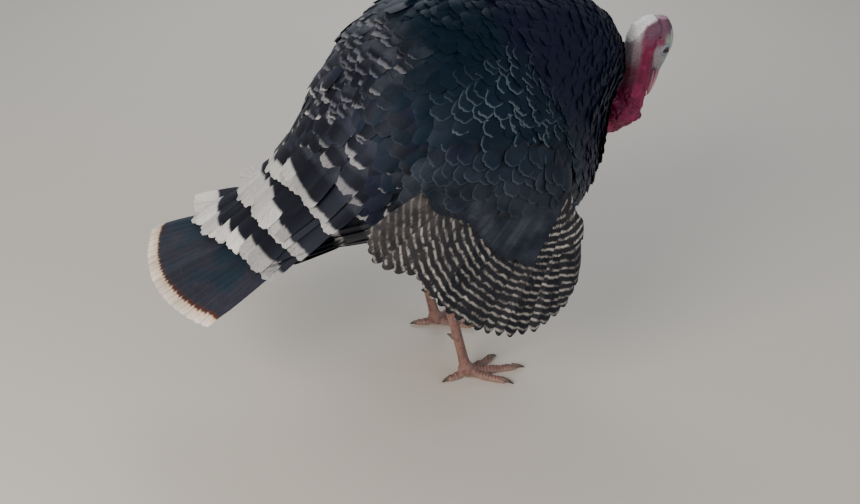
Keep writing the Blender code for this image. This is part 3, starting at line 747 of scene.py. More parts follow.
def covert_lie(v, turn, place, normal):
    """Coverts turn from the lie of the body to that of the tail quill they roof."""
    off = place - TAIL_START
    fan = SPREAD * 0.5 * (1 + min(1.0, max(-1.0, off.dot(TAIL_SIDE) / ROOT_HALF_WIDTH)))
    quill_line = TAIL_BACK * math.cos(fan) + TAIL_SIDE * math.sin(fan)
    share = ramp(off.dot(TAIL_BACK), -0.30, -0.14)
    return flat_on(body_lie(v, turn, place, normal).lerp(quill_line, share), normal)


def covert_root(root_run, turn, row):
    """Moves a covert's root until its tip lies on the line where all the tips of its row end."""
    for _ in range(3):
        v = v_at(root_run)
        place = on_body(v, turn)[0]
        lie = covert_lie(v, turn, place, soft_normal(v, turn))
        tip = (place + lie * (row.length * 0.00075) - TAIL_START) * 1000  # a quarter lies ahead of its place
        across = min(SLANT_ENDS[1], max(SLANT_ENDS[0], tip.dot(TAIL_SIDE)))
        slant = across * (row.right if across < 0 else row.left)
        root_run -= 0.9 * (tip.dot(TAIL_BACK) - row.tips - slant) / 1000
    return v_at(min(root_run, last - 0.012))


def covert_marking(row, across, chance):
    """Length and marking of a tail covert. Low down on the right the white is narrower, and its grey there is
    painted shade.
    """
    low = 1 - ramp(across, -0.120, -0.050)
    white_above = row.white_above + 22.0 * ramp(across, 0.03, 0.09) * (row.tips > LAST_ROWS)
    plain = 14.0 * (row.length < 80 and chance < 0.25)
    pale_above = 0.97 if row.tips > LAST_ROWS else 0.74 if row.tips > BIG_ROWS else 0.60
    # The greyer white low down on the right is painted shade; its narrower width is the marking.
    pale_low_shaded = 0.50 if row.tips > BIG_ROWS else 0.34
    return {
        "length": row.length / 1000, "edge": 0.10, "violet": 0.8,
        "white_mm": mix(white_above, row.white_low, low) * (0.86 + 0.28 * chance) - plain,
        "black_mm": row.black + 4 * chance, "pale": mix(pale_above, pale_low_shaded, low) - 0.2 * chance,
        "bronze": mix(0.50 + 0.25 * low, 0.12, ramp(-row.tips, 150, 200)),
    }


# %% [markdown]
# ### The rows
# Down the sides the rows of the body run forward from the spine, in a chevron. The front end of the form is
# too blunt for rays from the sides, so it gets a cap of short rows of its own.

# %% Numbers of the rows over breast, back, sides and rump
rng = np.random.default_rng(7)
CHEVRON, LONGEST = 0.55, 0.22  # how far rows run forward, per metre from the spine, and up to which distance
DEPTH = 0.0058  # how deep a long feather roots
BESIDE, BEHIND = 0.56, 0.25  # the distance to the next feather and to the next row, as shares of its size
FIRST_COVERT = last - 0.284
CAP_PITCH = 0.0075
REGIONS = ("collar", "breast", "back", "flank", "rump", "belly", "wing", "tail_coverts")
body_spots = {region: [] for region in REGIONS}


# %% Helpers for the rows
def row_turns(v, pitch, shift):
    """Turns at equal distances round the body."""
    ring = ring_at(v, TURNS)
    reach = reach_along(np.vstack([ring, ring[:1]]))
    number = max(5, round(reach[-1] / pitch))
    return np.interp((np.arange(number) + shift) / number * reach[-1], reach, [*TURNS, 2 * math.pi])


def from_spine(v, turn):
    """How far it is round the body from the spine to this turn, up to the widest place."""
    return min(LONGEST, float(reach_along(ring_at(v, [mix(math.pi / 2, turn, k / 6) for k in range(7)]))[-1]))


def region_of(solid, v, normal, covert):
    """Which coat piece a feather belongs to."""
    if solid.startswith("wing"):
        return "wing"
    if v > 0.60:
        return "tail_coverts" if covert else "rump"
    if normal.z < -0.35:
        return "belly"
    if v < 0.20:
        return "collar" if v < 0.09 else "breast"
    return "back" if normal.z > 0.45 else "flank"


# %% Lay one row
def lay_row(root_run, shift, covert=None):
    """Lays the feathers of one row, which roots this far along the surface from the breast."""
    v = v_at(root_run)
    width = (0.050 if covert.tips > BIG_ROWS else 0.040) if covert else body_marking(v, RISE, 0.5)["width"]
    for turn in row_turns(v, width * BESIDE, shift):
        turn = turn + rng.normal() * 0.01
        if covert:
            vj = covert_root(root_run, turn, covert)
        else:
            forward = CHEVRON * from_spine(v, turn) * ramp(v, 0.0, 0.50)
            if root_run - forward > FIRST_COVERT:
                continue
            vj = min(0.999, max(0.0008, v_at(root_run - forward) + rng.normal() * 0.0022))
        place, _, solid = on_body(vj, turn)
        normal = soft_normal(vj, turn)
        if bare.find_nearest(place)[3] < 0.004:
            continue
        chance = rng.random()
        mark = body_marking(vj, normal, chance)
        if covert:
            flat = normal.dot(TAIL_UP)
            by_tail = ramp(covert.tips, -150, -100)
            if abs(flat) < 0.22 * by_tail:
                continue
            mark.update(covert_marking(covert, (place - TAIL_START).dot(TAIL_SIDE), chance),
                        width=mix(width, 0.032, 1 - ramp(abs(flat), 0.2, 0.6)))
            normal = (normal + TAIL_UP * (math.copysign(0.8, flat) * by_tail)).normalized()
        root_map = ((turn % (2 * math.pi)) / (2 * math.pi), vj * 0.99)
        region = region_of(solid, vj, normal, covert)
        if region == "wing":
            body_spots["wing"].append((place, flat_on(wing_lie(place), normal), normal, chance, root_map))
            continue
        lie = (covert_lie if covert else body_lie)(vj, turn, place, normal)
        kind = int(rng.integers(0, 2 if covert else 3))
        depth = 0.0042 if vj > 0.86 else min(DEPTH, 0.13 * mark["length"])
        uneven = 0.01 if covert else 0.08
        body_spots[region].append(spot_of(place, lie, normal, kind, mark, root_map, depth, rng, uneven))


# %% Lay the cap and then all rows
def lay_cap(reach):
    """Rows over the blunt front end of the form, which rays from the sides can't reach."""
    steps = int(reach / CAP_PITCH) + 1
    for a in range(-steps, steps + 1):
        for b in range(-steps, steps + 1):
            off = SIDE * ((a + 0.5 * (b % 2)) * CAP_PITCH) + RISE * (b * CAP_PITCH * 0.8)  # staggered rows
            place, normal, _, _ = outer.ray_cast(FRONT - AXIS * 0.06 + off, AXIS)
            if off.length > reach or place is None:
                continue
            mark = body_marking(0.01, normal, rng.random())
            root_map = (math.atan2(b, a + 0.1) / (2 * math.pi) % 1, 0.001 + 0.002 * off.length / reach)
            kind = int(rng.integers(0, 3))
            lie = flat_on(place - NECK_ROOT, normal)
            body_spots["collar"].append(spot_of(place, lie, normal, kind, mark, root_map, 0.0020, rng))


cap = float(np.linalg.norm(rings[0] - rings[0].mean(axis=0), axis=1).max()) + 0.004
lay_cap(cap)
print("the front cap is", round(cap * 1000), "mm wide to each side")
distance, odd = 0.004, 0.0
while distance < FIRST_COVERT + CHEVRON * LONGEST:
    lay_row(distance, odd)
    distance += body_marking(v_at(distance), RISE, 0.5)["length"] * BEHIND
    odd = 0.5 - odd
for k, row in enumerate(COVERT_ROWS):
    lay_row(last + row.tips / 1000 - row.length / 1000 * 0.75, 0.5 * (k % 2) + 0.13 * k, row)
print({region: len(spots) for region, spots in body_spots.items()})

# %% Make the body's coat pieces
for region in ("collar", "breast", "back", "flank"):
    feathers("feathers_" + region, body_spots[region], contour_kinds, contour, "plumage")
downy = [{**s, "kind": s["kind"] % 2} for s in body_spots["belly"]]
feathers("feathers_belly", downy, downy_kinds, contour, "plumage")
feathers("feathers_rump", body_spots["rump"], contour_kinds, contour, "plumage")
feathers("feathers_tail_coverts", body_spots["tail_coverts"], covert_kinds, contour, "coverts", ruffle=0.003)

# %% [markdown]
# ## The wings
# A lowered wing is a fan. Its primaries hang from the hand, its secondaries from the forearm, and rows of
# coverts roof their roots. One wing is built and then mirrored, as the solids are. The quills overlap like
# the slats of a blind: the inner one always lies on top, with its front edge raised.

# %% Quills of one wing
def mirrored(piece, slot, *stands_for):
    """The same piece for the other side of the bird."""
    name = piece.name.replace("right", "left")
    mesh = piece.data.copy()
    mesh.name = name
    mesh.transform(Matrix.Scale(-1, 4, SIDE))
    mesh.flip_normals()
    return hand_over(placed(name, mesh), slot, *stands_for)


def strip(k, number, share=0.95):
    """The strip of the colour map that belongs to long feather k of this number."""
    return {"root_map": (k / number + 0.002, 0.01, 0.0), "patch": (share / number, 0.97, 0.0)}


WING_OUT = Vector((0, -1, 0.12)).normalized()
wing_rng = np.random.default_rng(11)


def quill_spot(k, **marking):
    """Quill k of the right wing, as wide as the tips beside it are apart, and with an overlap."""
    root, tip = quill(k)
    reach = tip - root
    apart = (quill(min(QUILLS - 1, k + 0.5))[1] - quill(max(0, k - 0.5))[1]).length
    return {
        "place": root + WING_OUT * (0.0004 * k - 0.004), "kind": 0,
        "turn": turned(reach, WING_OUT, -0.004, math.radians(-5.5)),
        "size": (min(0.056, max(0.033, apart * 1.95)), reach.length * 1.005, 0.055),
        "pale": float(np.interp(k, (0, 6, 12, 18, 23), (0.30, 0.40, 0.60, 0.85, 0.70))),
        "tint": wing_rng.random(), **strip(k, QUILLS), **marking,
    }


primaries = feathers("primaries_right", [quill_spot(k) for k in range(PRIMARIES)], primary_kinds, wing_finish,
                     "quills", "wing_right_primaries", ruffle=0.002)
inner = [quill_spot(k, bronze=ramp(k, 14, 30)) for k in range(PRIMARIES, QUILLS)]
secondaries = feathers("secondaries_right", inner, secondary_kinds, wing_finish, "quills",
                       "wing_right_secondaries", ruffle=0.002)
mirrored(primaries, "quills", "wing_left_primaries")
mirrored(secondaries, "quills", "wing_left_secondaries")

# %% Coverts of the wings
def covert_spot(place, lie, normal, chance, root_map):
    """Coverts are small and dark near the front edge, long and bronze grey where they roof the quills."""
    down = ramp(0.470 - place.z + 0.15 * (HIP_X - place.x), 0.0, 0.125)
    mark = {
        "length": 0.040 + 0.034 * down, "width": 0.028 + 0.014 * down,
        "white_mm": -2.0, "black_mm": 5.0 * down * (chance > 0.3) - 2.0, "pale": 0.3,
        "edge": 0.45 * (1 - 0.6 * down) * (0.4 + chance * 0.6), "bronze": 0.20 + 0.40 * down, "violet": 0.3,
    }
    return spot_of(place, lie, normal, int(wing_rng.integers(0, 3)), mark, root_map, 0.006, wing_rng)


right_pad = [covert_spot(*s) for s in body_spots["wing"] if s[0].y < 0]
wing_coverts = feathers("wing_coverts_right", right_pad, contour_kinds, contour, "plumage",
                        "wing_right_coverts")
mirrored(wing_coverts, "plumage", "wing_left_coverts")


def greater_covert(k, **marking):
    """The long coverts that roof the roots of the quills. Those of the hand are barred as its quills are."""
    root, tip = quill(k)
    reach = tip - root
    share = 0.40 + 0.10 * ramp(k, 7, 10) - 0.20 * ramp(k, 12, 21)
    length = reach.length * share * (0.96 + 0.08 * wing_rng.random())
    return {
        "place": root + WING_OUT * (0.004 + 0.0004 * k), "kind": int(k * 2) % 2,
        "turn": turned(reach, WING_OUT, 0.03, math.radians(-5)),
        "size": (0.030 + 0.008 * (k / (QUILLS - 1)), length, 0.05),
        "tint": wing_rng.random(), "pale": 0.6, **strip(k, QUILLS, 0.45), **marking,
    }


ON_HAND = 17  # coverts of the hand, two to each quill, and those of the arm follow
barred = [greater_covert(k / 2) for k in range(ON_HAND)]
hand = feathers("primary_coverts_right", barred, covert_kinds, wing_finish, "quills", ruffle=0.002)
bronzed = [greater_covert(k / 2, bronze=0.45 + 0.3 * wing_rng.random(), edge=0.1, white_mm=-4.0, black_mm=3.0)
           for k in range(ON_HAND, 2 * QUILLS - 1)]
arm = feathers("greater_coverts_right", bronzed, covert_kinds, contour, "plumage", ruffle=0.002)
mirrored(hand, "quills")
mirrored(arm, "plumage")

# %% [markdown]
# ## The tail
# Eighteen broad quills make the fan. Each one is placed from its own root to its own tip, with the middle
# pair on top and the others stepping down to both sides.

# %% Tail quills
TAIL_QUILLS = 18
HIDDEN = 0.075  # how much of each quill lies under the coverts
tail_rng = np.random.default_rng(5)


def tail_quill_spot(i):
    share = i / (TAIL_QUILLS - 1)
    s = 2 * share - 1
    aim = TAIL_BACK * math.cos(SPREAD * share) + TAIL_SIDE * math.sin(SPREAD * share)
    line = TAIL_START + TAIL_SIDE * (ROOT_HALF_WIDTH * s)
    tip = line + aim * (SHOWN * (1 - ROUND * s * s) + 0.005)
    root = line - aim * HIDDEN - TAIL_SIDE * (0.35 * ROOT_HALF_WIDTH * s * HIDDEN / SHOWN)
    step = 0.0007 * (TAIL_QUILLS / 2 - abs(i - (TAIL_QUILLS - 1) / 2))
    return {
        "place": root + TAIL_UP * (step - 0.004), "kind": 0,
        "turn": turned(tip - root, TAIL_UP, 0.0, math.radians(3.0) * (1 if s > 0 else -1)),
        "size": (0.040, (tip - root).length, 0.05), "tint": tail_rng.random(),
        "edge": 0.35 + 0.65 * ramp(-s, -0.2, 0.6), **strip(i, TAIL_QUILLS),
    }


feathers("tail_quills", [tail_quill_spot(i) for i in range(TAIL_QUILLS)], tail_kinds, tail_finish, "tail",
         "tail_feathers", ruffle=0.003)

# %% [markdown]
# ## Thighs
# The drumsticks carry loose, soft feathers that point down to the hock, laid in rings round the line from
# hip to hock.

# %% Feathers of the thighs
HIP = Vector((HIP_X, -0.075, 0.300))
HOCK = Vector((-0.060 + HIP_X, -0.085, 0.180))
THIGH_ROWS = 15


def thigh_spots():
    tree, _ = search_tree("thigh_right")
    line = (HOCK - HIP).normalized()
    side = flat_on(SIDE, line)
    spots = []
    leg_rng = np.random.default_rng(3)
    for row in range(THIGH_ROWS):
        t = 0.10 + 0.90 * row / (THIGH_ROWS - 1)
        number = round(mix(17, 9, t))
        for k in range(number):
            turn = 2 * math.pi * (k + 0.5 * (row % 2)) / number + leg_rng.normal() * 0.05
            out = side * math.cos(turn) + line.cross(side) * math.sin(turn)
            place, normal, _, _ = tree.ray_cast(HIP.lerp(HOCK, t) + out * 0.2, -out)
            if place is None:
                continue
            mark = {"length": mix(0.050, 0.026, t), "width": mix(0.034, 0.016, t), "edge": 0.75, "pale": 0.5,
                    "white_mm": -1.0 + 2.5 * leg_rng.random(), "black_mm": -2.0, "bronze": 0.25}
            kind = int(leg_rng.integers(0, 2))
            root_map = (turn / (2 * math.pi) % 1, t * 0.9)
            spots.append(spot_of(place, flat_on(line, normal), normal, kind, mark, root_map, 0.005, leg_rng))
    return spots


thigh = feathers("feathers_thigh_right", thigh_spots(), downy_kinds, contour, "plumage")
mirrored(thigh, "plumage")

# %% [markdown]
# ## The skin
# Under the feathers a bird has one skin. The solids of body, thighs and wing pads are copied, fused by a
# voxel remesh and drawn in by the depth of the coat. Head, neck, caruncles and snood are fused in the same
# way but five times finer, because they are bare, and so are the scaly legs. A Boolean union then makes all
# of it one closed skin with no seam. A remesh was chosen over hand-built topology because the parts then
# melt into each other.

# %% Fuse copies of the solids
def stretch(ball, centre, half, turn=Matrix.Identity(3)):
    """Makes an ellipsoid of the points of a unit ball, from its middle, its half axes and a turn."""
    for vertex in ball:
        vertex.co = centre + turn @ Vector(a * b for a, b in zip(vertex.co, half))


def fused(name, sources, voxel, smooth, extra=()):
    """A closed mesh round all these solids and extra ellipsoids, made of even quads."""
    work = bmesh.new()
    for source in sources:
        part = bmesh.new()
        part.from_mesh(nodes[source].data)
        bmesh.ops.remove_doubles(part, verts=part.verts, dist=1e-6)
        part.normal_update()
        for vertex in part.verts:
            vertex.co += vertex.normal * 0.0003  # so that solids that only touch melt together
        lump = mesh_of(part, source)
        work.from_mesh(lump)
        bpy.data.meshes.remove(lump)
    for centre, half in extra:
        stretch(bmesh.ops.create_icosphere(work, subdivisions=3, radius=1.0)["verts"], centre, half)
    made = placed(name, mesh_of(work, name))
    remesh = made.modifiers.new("fuse", "REMESH")
    remesh.mode = "VOXEL"
    remesh.voxel_size = voxel
    even = made.modifiers.new("even", "SMOOTH")
    even.iterations = smooth
    even.factor = 0.5
    return frozen(made)


# %% Helpers for the points of a mesh
def read(rows, key):
    """A vector of each point or normal of a mesh, as an array."""
    found = np.empty(len(rows) * 3, np.float32)
    rows.foreach_get(key, found)
    return found.reshape(-1, 3).astype(float)


def points_of(obj):
    return read(obj.data.vertices, "co")


def normals_of(obj):
    return read(obj.data.vertex_normals, "vector")


def move_points(obj, places):
    obj.data.vertices.foreach_set("co", places.astype(np.float32).ravel())
    obj.data.update()


def distance_to(solid, places):
    """How far each place is from a solid."""
    tree, _ = search_tree(solid)
    return np.array([tree.find_nearest(Vector(p))[3] for p in places])


def far_from(centre, places):
    return np.linalg.norm(places - np.array(centre), axis=1)


# %% The skin under the coat
COAT = 0.0068  # how deep the skin lies below the outer form
flesh = fused("skin", [*FEATHERED[:3], "thigh_right", "thigh_left", *FEATHERED[3:]], 0.0075, 3)
sunk = points_of(flesh) - normals_of(flesh) * COAT
from_tail = sunk - np.array(TAIL_START)
thinned = ramp(from_tail @ np.array(TAIL_BACK), -0.095, -0.045)
sunk -= np.outer((0.9 * (from_tail @ np.array(TAIL_UP)) + 0.004) * thinned, np.array(TAIL_UP))
move_points(flesh, sunk)
print("feathered skin", len(flesh.data.polygons), "quads")

# %% [markdown]
# ### Folds, lumps and wrinkles of the bare head
# A tom's bare head is covered in small warty grains. They grow to beads down the neck and to the swollen
# caruncles at its foot. A Voronoi pattern gives round lumps that butt against each other: each point is
# pushed out by how near it is to the middle of its own cell. The eye gets a ring of fine folds, and the
# snood rings of wrinkles.

# %% Head, neck, caruncles and snood
EYE_AT, EYE_RADIUS, EYE_OUT, EYE_UP = 0.050, 0.0070, 0.0155, 0.0060
OCCIPUT = Vector((0.332 + HIP_X, 0, 0.5735))
HEAD_PITCH = math.radians(-92.7)
HEAD_DOWN = Vector((math.cos(HEAD_PITCH), 0, math.sin(HEAD_PITCH)))
CROWN = Vector((-HEAD_DOWN.z, 0, HEAD_DOWN.x))
SIDES = (-1, 1)  # right and left
LID_HALF = (0.0041, 0.0065)  # half the height and half the length of the opening between the lids
LID_LEAN = 0.80  # how far the opening leans, in radians
EYES = [OCCIPUT + HEAD_DOWN * EYE_AT + CROWN * EYE_UP + SIDE * (s * EYE_OUT) for s in SIDES]
EARS = [OCCIPUT + HEAD_DOWN * 0.030 - CROWN * 0.006 + SIDE * (s * 0.0205) for s in SIDES]
head_extra = [(eye, (0.0084, 0.0080, 0.0088)) for eye in EYES]
head_extra += [
    (Vector((0.318 + HIP_X, 0, 0.5560)), (0.0175, 0.0218, 0.0192)),
    (Vector((0.330 + HIP_X, 0, 0.5610)), (0.0150, 0.0160, 0.0145)),
    (Vector((0.205 + HIP_X, 0, 0.428)), (0.045, 0.028, 0.028)),
    (Vector((0.316 + HIP_X, 0, 0.488)), (0.015, 0.0050, 0.034)),
]
bare_head = fused("bare_head", ["head", "neck", "caruncles", "snood"], 0.00145, 4, head_extra)


# %% Push out the lumps and folds
def lumps(places, size, seed):
    """1 in the middle of a cell and 0 at its border, in cells of this size."""
    found = []
    for place in places:
        near = noise.voronoi(Vector(place) / size + Vector((seed, seed, seed)))[0]
        found.append(min(1.0, max(0.0, (near[1] - near[0]) * 1.3)))
    return np.array(found)


def shape_head():
    places, normals = points_of(bare_head), normals_of(bare_head)
    far = {solid: distance_to(solid, places) for solid in ("snood", "caruncles", "head")}
    height = places[:, 2]
    on_caruncles = 1 - ramp(far["caruncles"], 0.0015, 0.006)
    on_snood = (1 - ramp(far["snood"], 0.0006, 0.002)) * ramp(far["head"], 0.0, 0.003)
    low_neck = (1 - ramp(height, 0.435, 0.515)) * (1 - on_caruncles)
    on_head = (1 - ramp(far["head"], 0.0005, 0.004)) * (1 - on_snood)
    big = lumps(places, 0.0125, 2.0) ** 0.6
    beads = lumps(places, 0.0058, 9.0) ** 0.7
    grains = lumps(places, 0.0026, 5.0) ** 0.8
    folds = np.array([noise.noise(Vector((p[0] * 110, p[1] * 110, p[2] * 320))) for p in places])
    push = on_caruncles * (0.0042 * big + 0.0011 * beads - 0.0018)
    push += low_neck * (0.0021 * beads + 0.0008 * folds - 0.0007)
    warty = 0.00050 * grains + 0.0007 * folds * (1 - 0.7 * on_head)
    push += (1 - low_neck) * (1 - on_caruncles) * (1 - on_snood) * warty
    push += on_snood * (0.0005 * np.sin(height * 2 * math.pi / 0.0026) + 0.0003 * grains)
    for eye in EYES:
        near = far_from(eye, places)
        push += bell(near - 0.0108, 0.0026) * 0.00045 * np.sin(near * 2 * math.pi / 0.0017)
        push -= 0.0010 * bell(near - 0.0112, 0.0018)
    for ear in EARS:
        near = far_from(ear, places)
        push -= 0.0024 * bell(near, 0.0022)
        push += 0.0005 * bell(near - 0.0042, 0.0012)
    inside = ramp(-places[:, 0], -(0.262 + HIP_X), -(0.240 + HIP_X)) * (1 - on_caruncles)
    push *= 1 - inside
    move_points(bare_head, places + normals * push[:, None])


shape_head()
print("bare head", len(bare_head.data.polygons), "quads")

# %% [markdown]
# ### Bristles on the bare skin
# The smallest feathers of all are the bristles, dark hairs a few millimetres long that stand thinly on the
# crown, the cheeks and the back of the neck. Points are picked from the finished skin so that none is nearer
# to another than a few millimetres, and the same feather tree plants a bristle on each.

# %% Bristles
def on_head_axes(places):
    """How far each place is down the head from the occiput, and how far towards the crown."""
    off = places - np.array(OCCIPUT)
    return off @ np.array(HEAD_DOWN), off @ np.array(CROWN)


def bristle_spots():
    places, normals = points_of(bare_head), normals_of(bare_head)
    down, crown = on_head_axes(places)
    x, z = places[:, 0] - HIP_X, places[:, 2]
    in_head = distance_to("head", places) < 0.003
    hind = (x < np.interp(z, (0.45, 0.52, 0.56), (0.272, 0.284, 0.300))) & (z > 0.455)
    wanted = (in_head & (crown > -0.014) & (down < 0.078)) | hind
    wanted &= distance_to("snood", places) > 0.004
    for eye in EYES:
        wanted &= far_from(eye, places) > 0.0108
    hair_rng = np.random.default_rng(23)
    kept, spots = np.zeros((0, 3)), []
    for i in hair_rng.permutation(np.nonzero(wanted)[0])[:9000]:
        apart = 0.0047 + 0.0030 * noise.noise(Vector(places[i]) * 90)
        if len(kept) and np.min(np.sum((kept - places[i]) ** 2, axis=1)) < apart ** 2:
            continue
        kept = np.vstack([kept, places[i]])
        normal = Vector(normals[i])
        backward = ramp(crown[i], -0.012, 0.006)
        lie = -HEAD_DOWN * backward + Vector((-1.2 * ramp(z[i], 0.556, 0.570), 0, backward - 1))
        lie = flat_on(lie + Vector(hair_rng.normal(size=3)) * 0.18, normal)
        spots.append({
            "place": Vector(places[i]) - normal * 0.0004, "kind": 0,
            "turn": turned(lie, normal, 0.20 + 0.15 * hair_rng.random()),
            "size": (0.00034, 0.0032 + 0.0026 * hair_rng.random(), 0.0010),
            "root_map": (0.5 + math.atan2(places[i, 1], crown[i]) / 7, 0.1 + 0.8 * (z[i] - 0.42) / 0.16, 0.0),
            "patch": (0.003, 0.003, 0.0), "tint": hair_rng.random(), "white_mm": -9.0, "black_mm": -9.0,
        })
    return spots


feathers("bristles_head", bristle_spots(), bristle_kinds, contour, "plumage", ruffle=0.0004)

# %% [markdown]
# ### Scaly legs
# Turkey shanks carry two rows of broad plates in front, and each toe has a row of plates on top, divided by
# narrow grooves. The plates are pressed into the fused mesh: grooves at even steps along the shank, and at
# even distances from the ankle on the toes, with small grains on the sides and soles.

# %% Shanks and feet
ANKLE = Vector((-0.022 + HIP_X, -0.088, 0.014))
SHANK_TOP = Vector((-0.060 + HIP_X, -0.085, 0.180))
SHANK_PLATE, TOE_PLATE = 0.0066, 0.0056  # from one groove to the next


def leg_plates(local, facing):
    """Shares of shank, of its front and of the top of the toes, and the grooves of shank and toes."""
    ankle, top = np.array(ANKLE), np.array(SHANK_TOP)
    along = (local - ankle) @ ((top - ankle) / np.linalg.norm(top - ankle))
    out = np.linalg.norm((local - ankle)[:, :2], axis=1)
    on_shank = ramp(local[:, 2], 0.024, 0.034)
    front = ramp(facing[:, 0], 0.05, 0.5)
    step = np.abs(np.mod(along / SHANK_PLATE + 0.5 * (facing[:, 1] > 0), 1.0) - 0.5) * 2
    middle = 1 - ramp(np.abs(facing[:, 1]), 0.0, 0.16)
    toe_step = np.abs(np.mod(out / TOE_PLATE, 1.0) - 0.5) * 2
    toe_top = ramp(facing[:, 2], 0.1, 0.6) * ramp(out, 0.012, 0.02)
    shank_groove = np.maximum(1 - ramp(step, 0.0, 0.36), 0.7 * middle)
    return on_shank, front, toe_top, shank_groove, 1 - ramp(toe_step, 0.0, 0.40)


def scaled_leg(side, sign):
    flip = np.array((1, -sign, 1))
    plug = (Vector((SHANK_TOP.x, sign * 0.085, 0.186)), (0.0115, 0.0115, 0.020))
    leg = fused("leg_" + side, [f"shank_{side}", f"foot_{side}"], 0.0015, 3, [plug])
    places, normals = points_of(leg), normals_of(leg)
    local = places * flip
    on_shank, front, toe_top, shank_groove, toe_groove = leg_plates(local, normals * flip)
    grains = lumps(places, 0.0030, 1.0)
    push = on_shank * (0.00035 * grains * (1 - front) - 0.0011 * front * shank_groove)
    push += (1 - on_shank) * (0.0004 * grains * (1 - toe_top) - 0.0011 * toe_top * toe_groove)
    push *= ramp(local[:, 2], 0.0008, 0.004)
    moved = places + normals * push[:, None]
    moved[:, 2] = np.maximum(moved[:, 2], 0.0)
    move_points(leg, moved)
    return leg


legs = [scaled_leg("right", -1), scaled_leg("left", 1)]
print("legs", [len(leg.data.polygons) for leg in legs], "quads")

# %% [markdown]
# ### One closed skin
# The union is made by Boolean modifiers, which keep a closed mesh closed. The lids are then cut for each eye
# with two shapes: the ball of the eye, and an almond in front of it that opens the lids.

# %% Join the skin and open the lids
def lid_cutters(eye, sign):
    """What is cut out of the skin for one eye: the ball, and then the almond opening between the lids."""
    made = []
    for centre, half, lean in (
        (eye, (EYE_RADIUS + 0.00012,) * 3, 0.0),
        (eye + SIDE * (sign * 0.0075), (LID_HALF[0], 0.0062, LID_HALF[1]), LID_LEAN),
    ):
        work = bmesh.new()
        ball = bmesh.ops.create_uvsphere(work, u_segments=48, v_segments=30, radius=1.0)["verts"]
        stretch(ball, centre, half, Matrix.Rotation(lean, 3, "Y"))
        made.append(placed("lid_cutter", mesh_of(work, "lid_cutter")))
    return made


helpers = [(part, "UNION") for part in (bare_head, *legs)]
helpers += [(cutter, "DIFFERENCE") for eye, sign in zip(EYES, SIDES) for cutter in lid_cutters(eye, sign)]
for helper, operation in helpers:
    join = flesh.modifiers.new(operation, "BOOLEAN")
    join.operation = operation
    join.solver = "MANIFOLD"
    join.object = helper
frozen(flesh)
for helper, _ in helpers:
    bpy.data.objects.remove(helper)
loose = bmesh.new()
loose.from_mesh(flesh.data)
print("one skin", count(flesh), "triangles, open edges", sum(not e.is_manifold for e in loose.edges))
loose.free()

# %% [markdown]
# ### The colours of bare skin
# A displaying tom's head changes from white to blue and red with the blood in it. Here the crown and the
# arch of the nape are white, the face is bluish white, the side of the head mauve, the throat, neck and
# caruncles crimson, and the back of the neck a dull greyish pink. Legs are dusky pink, with painted shade
# darkening the grooves between their plates. The ear openings and two spots by the corner of the bill are
# darkened as painted shade too. Feathered skin is kept as dark as the coat over it, as painted shade for the
# gaps between the feathers, so nothing light shines through. Each zone is a smooth blend of ramps over the
# head's own directions, and the result is kept as a colour on the points of the skin.

# %% Paint the skin by zones
NECK_LINE = ((0.232, 0.412), (0.266, 0.418), (0.287, 0.446), (0.296, 0.483), (0.2975, 0.520), (0.3045, 0.549),
             (0.3235, 0.5575))


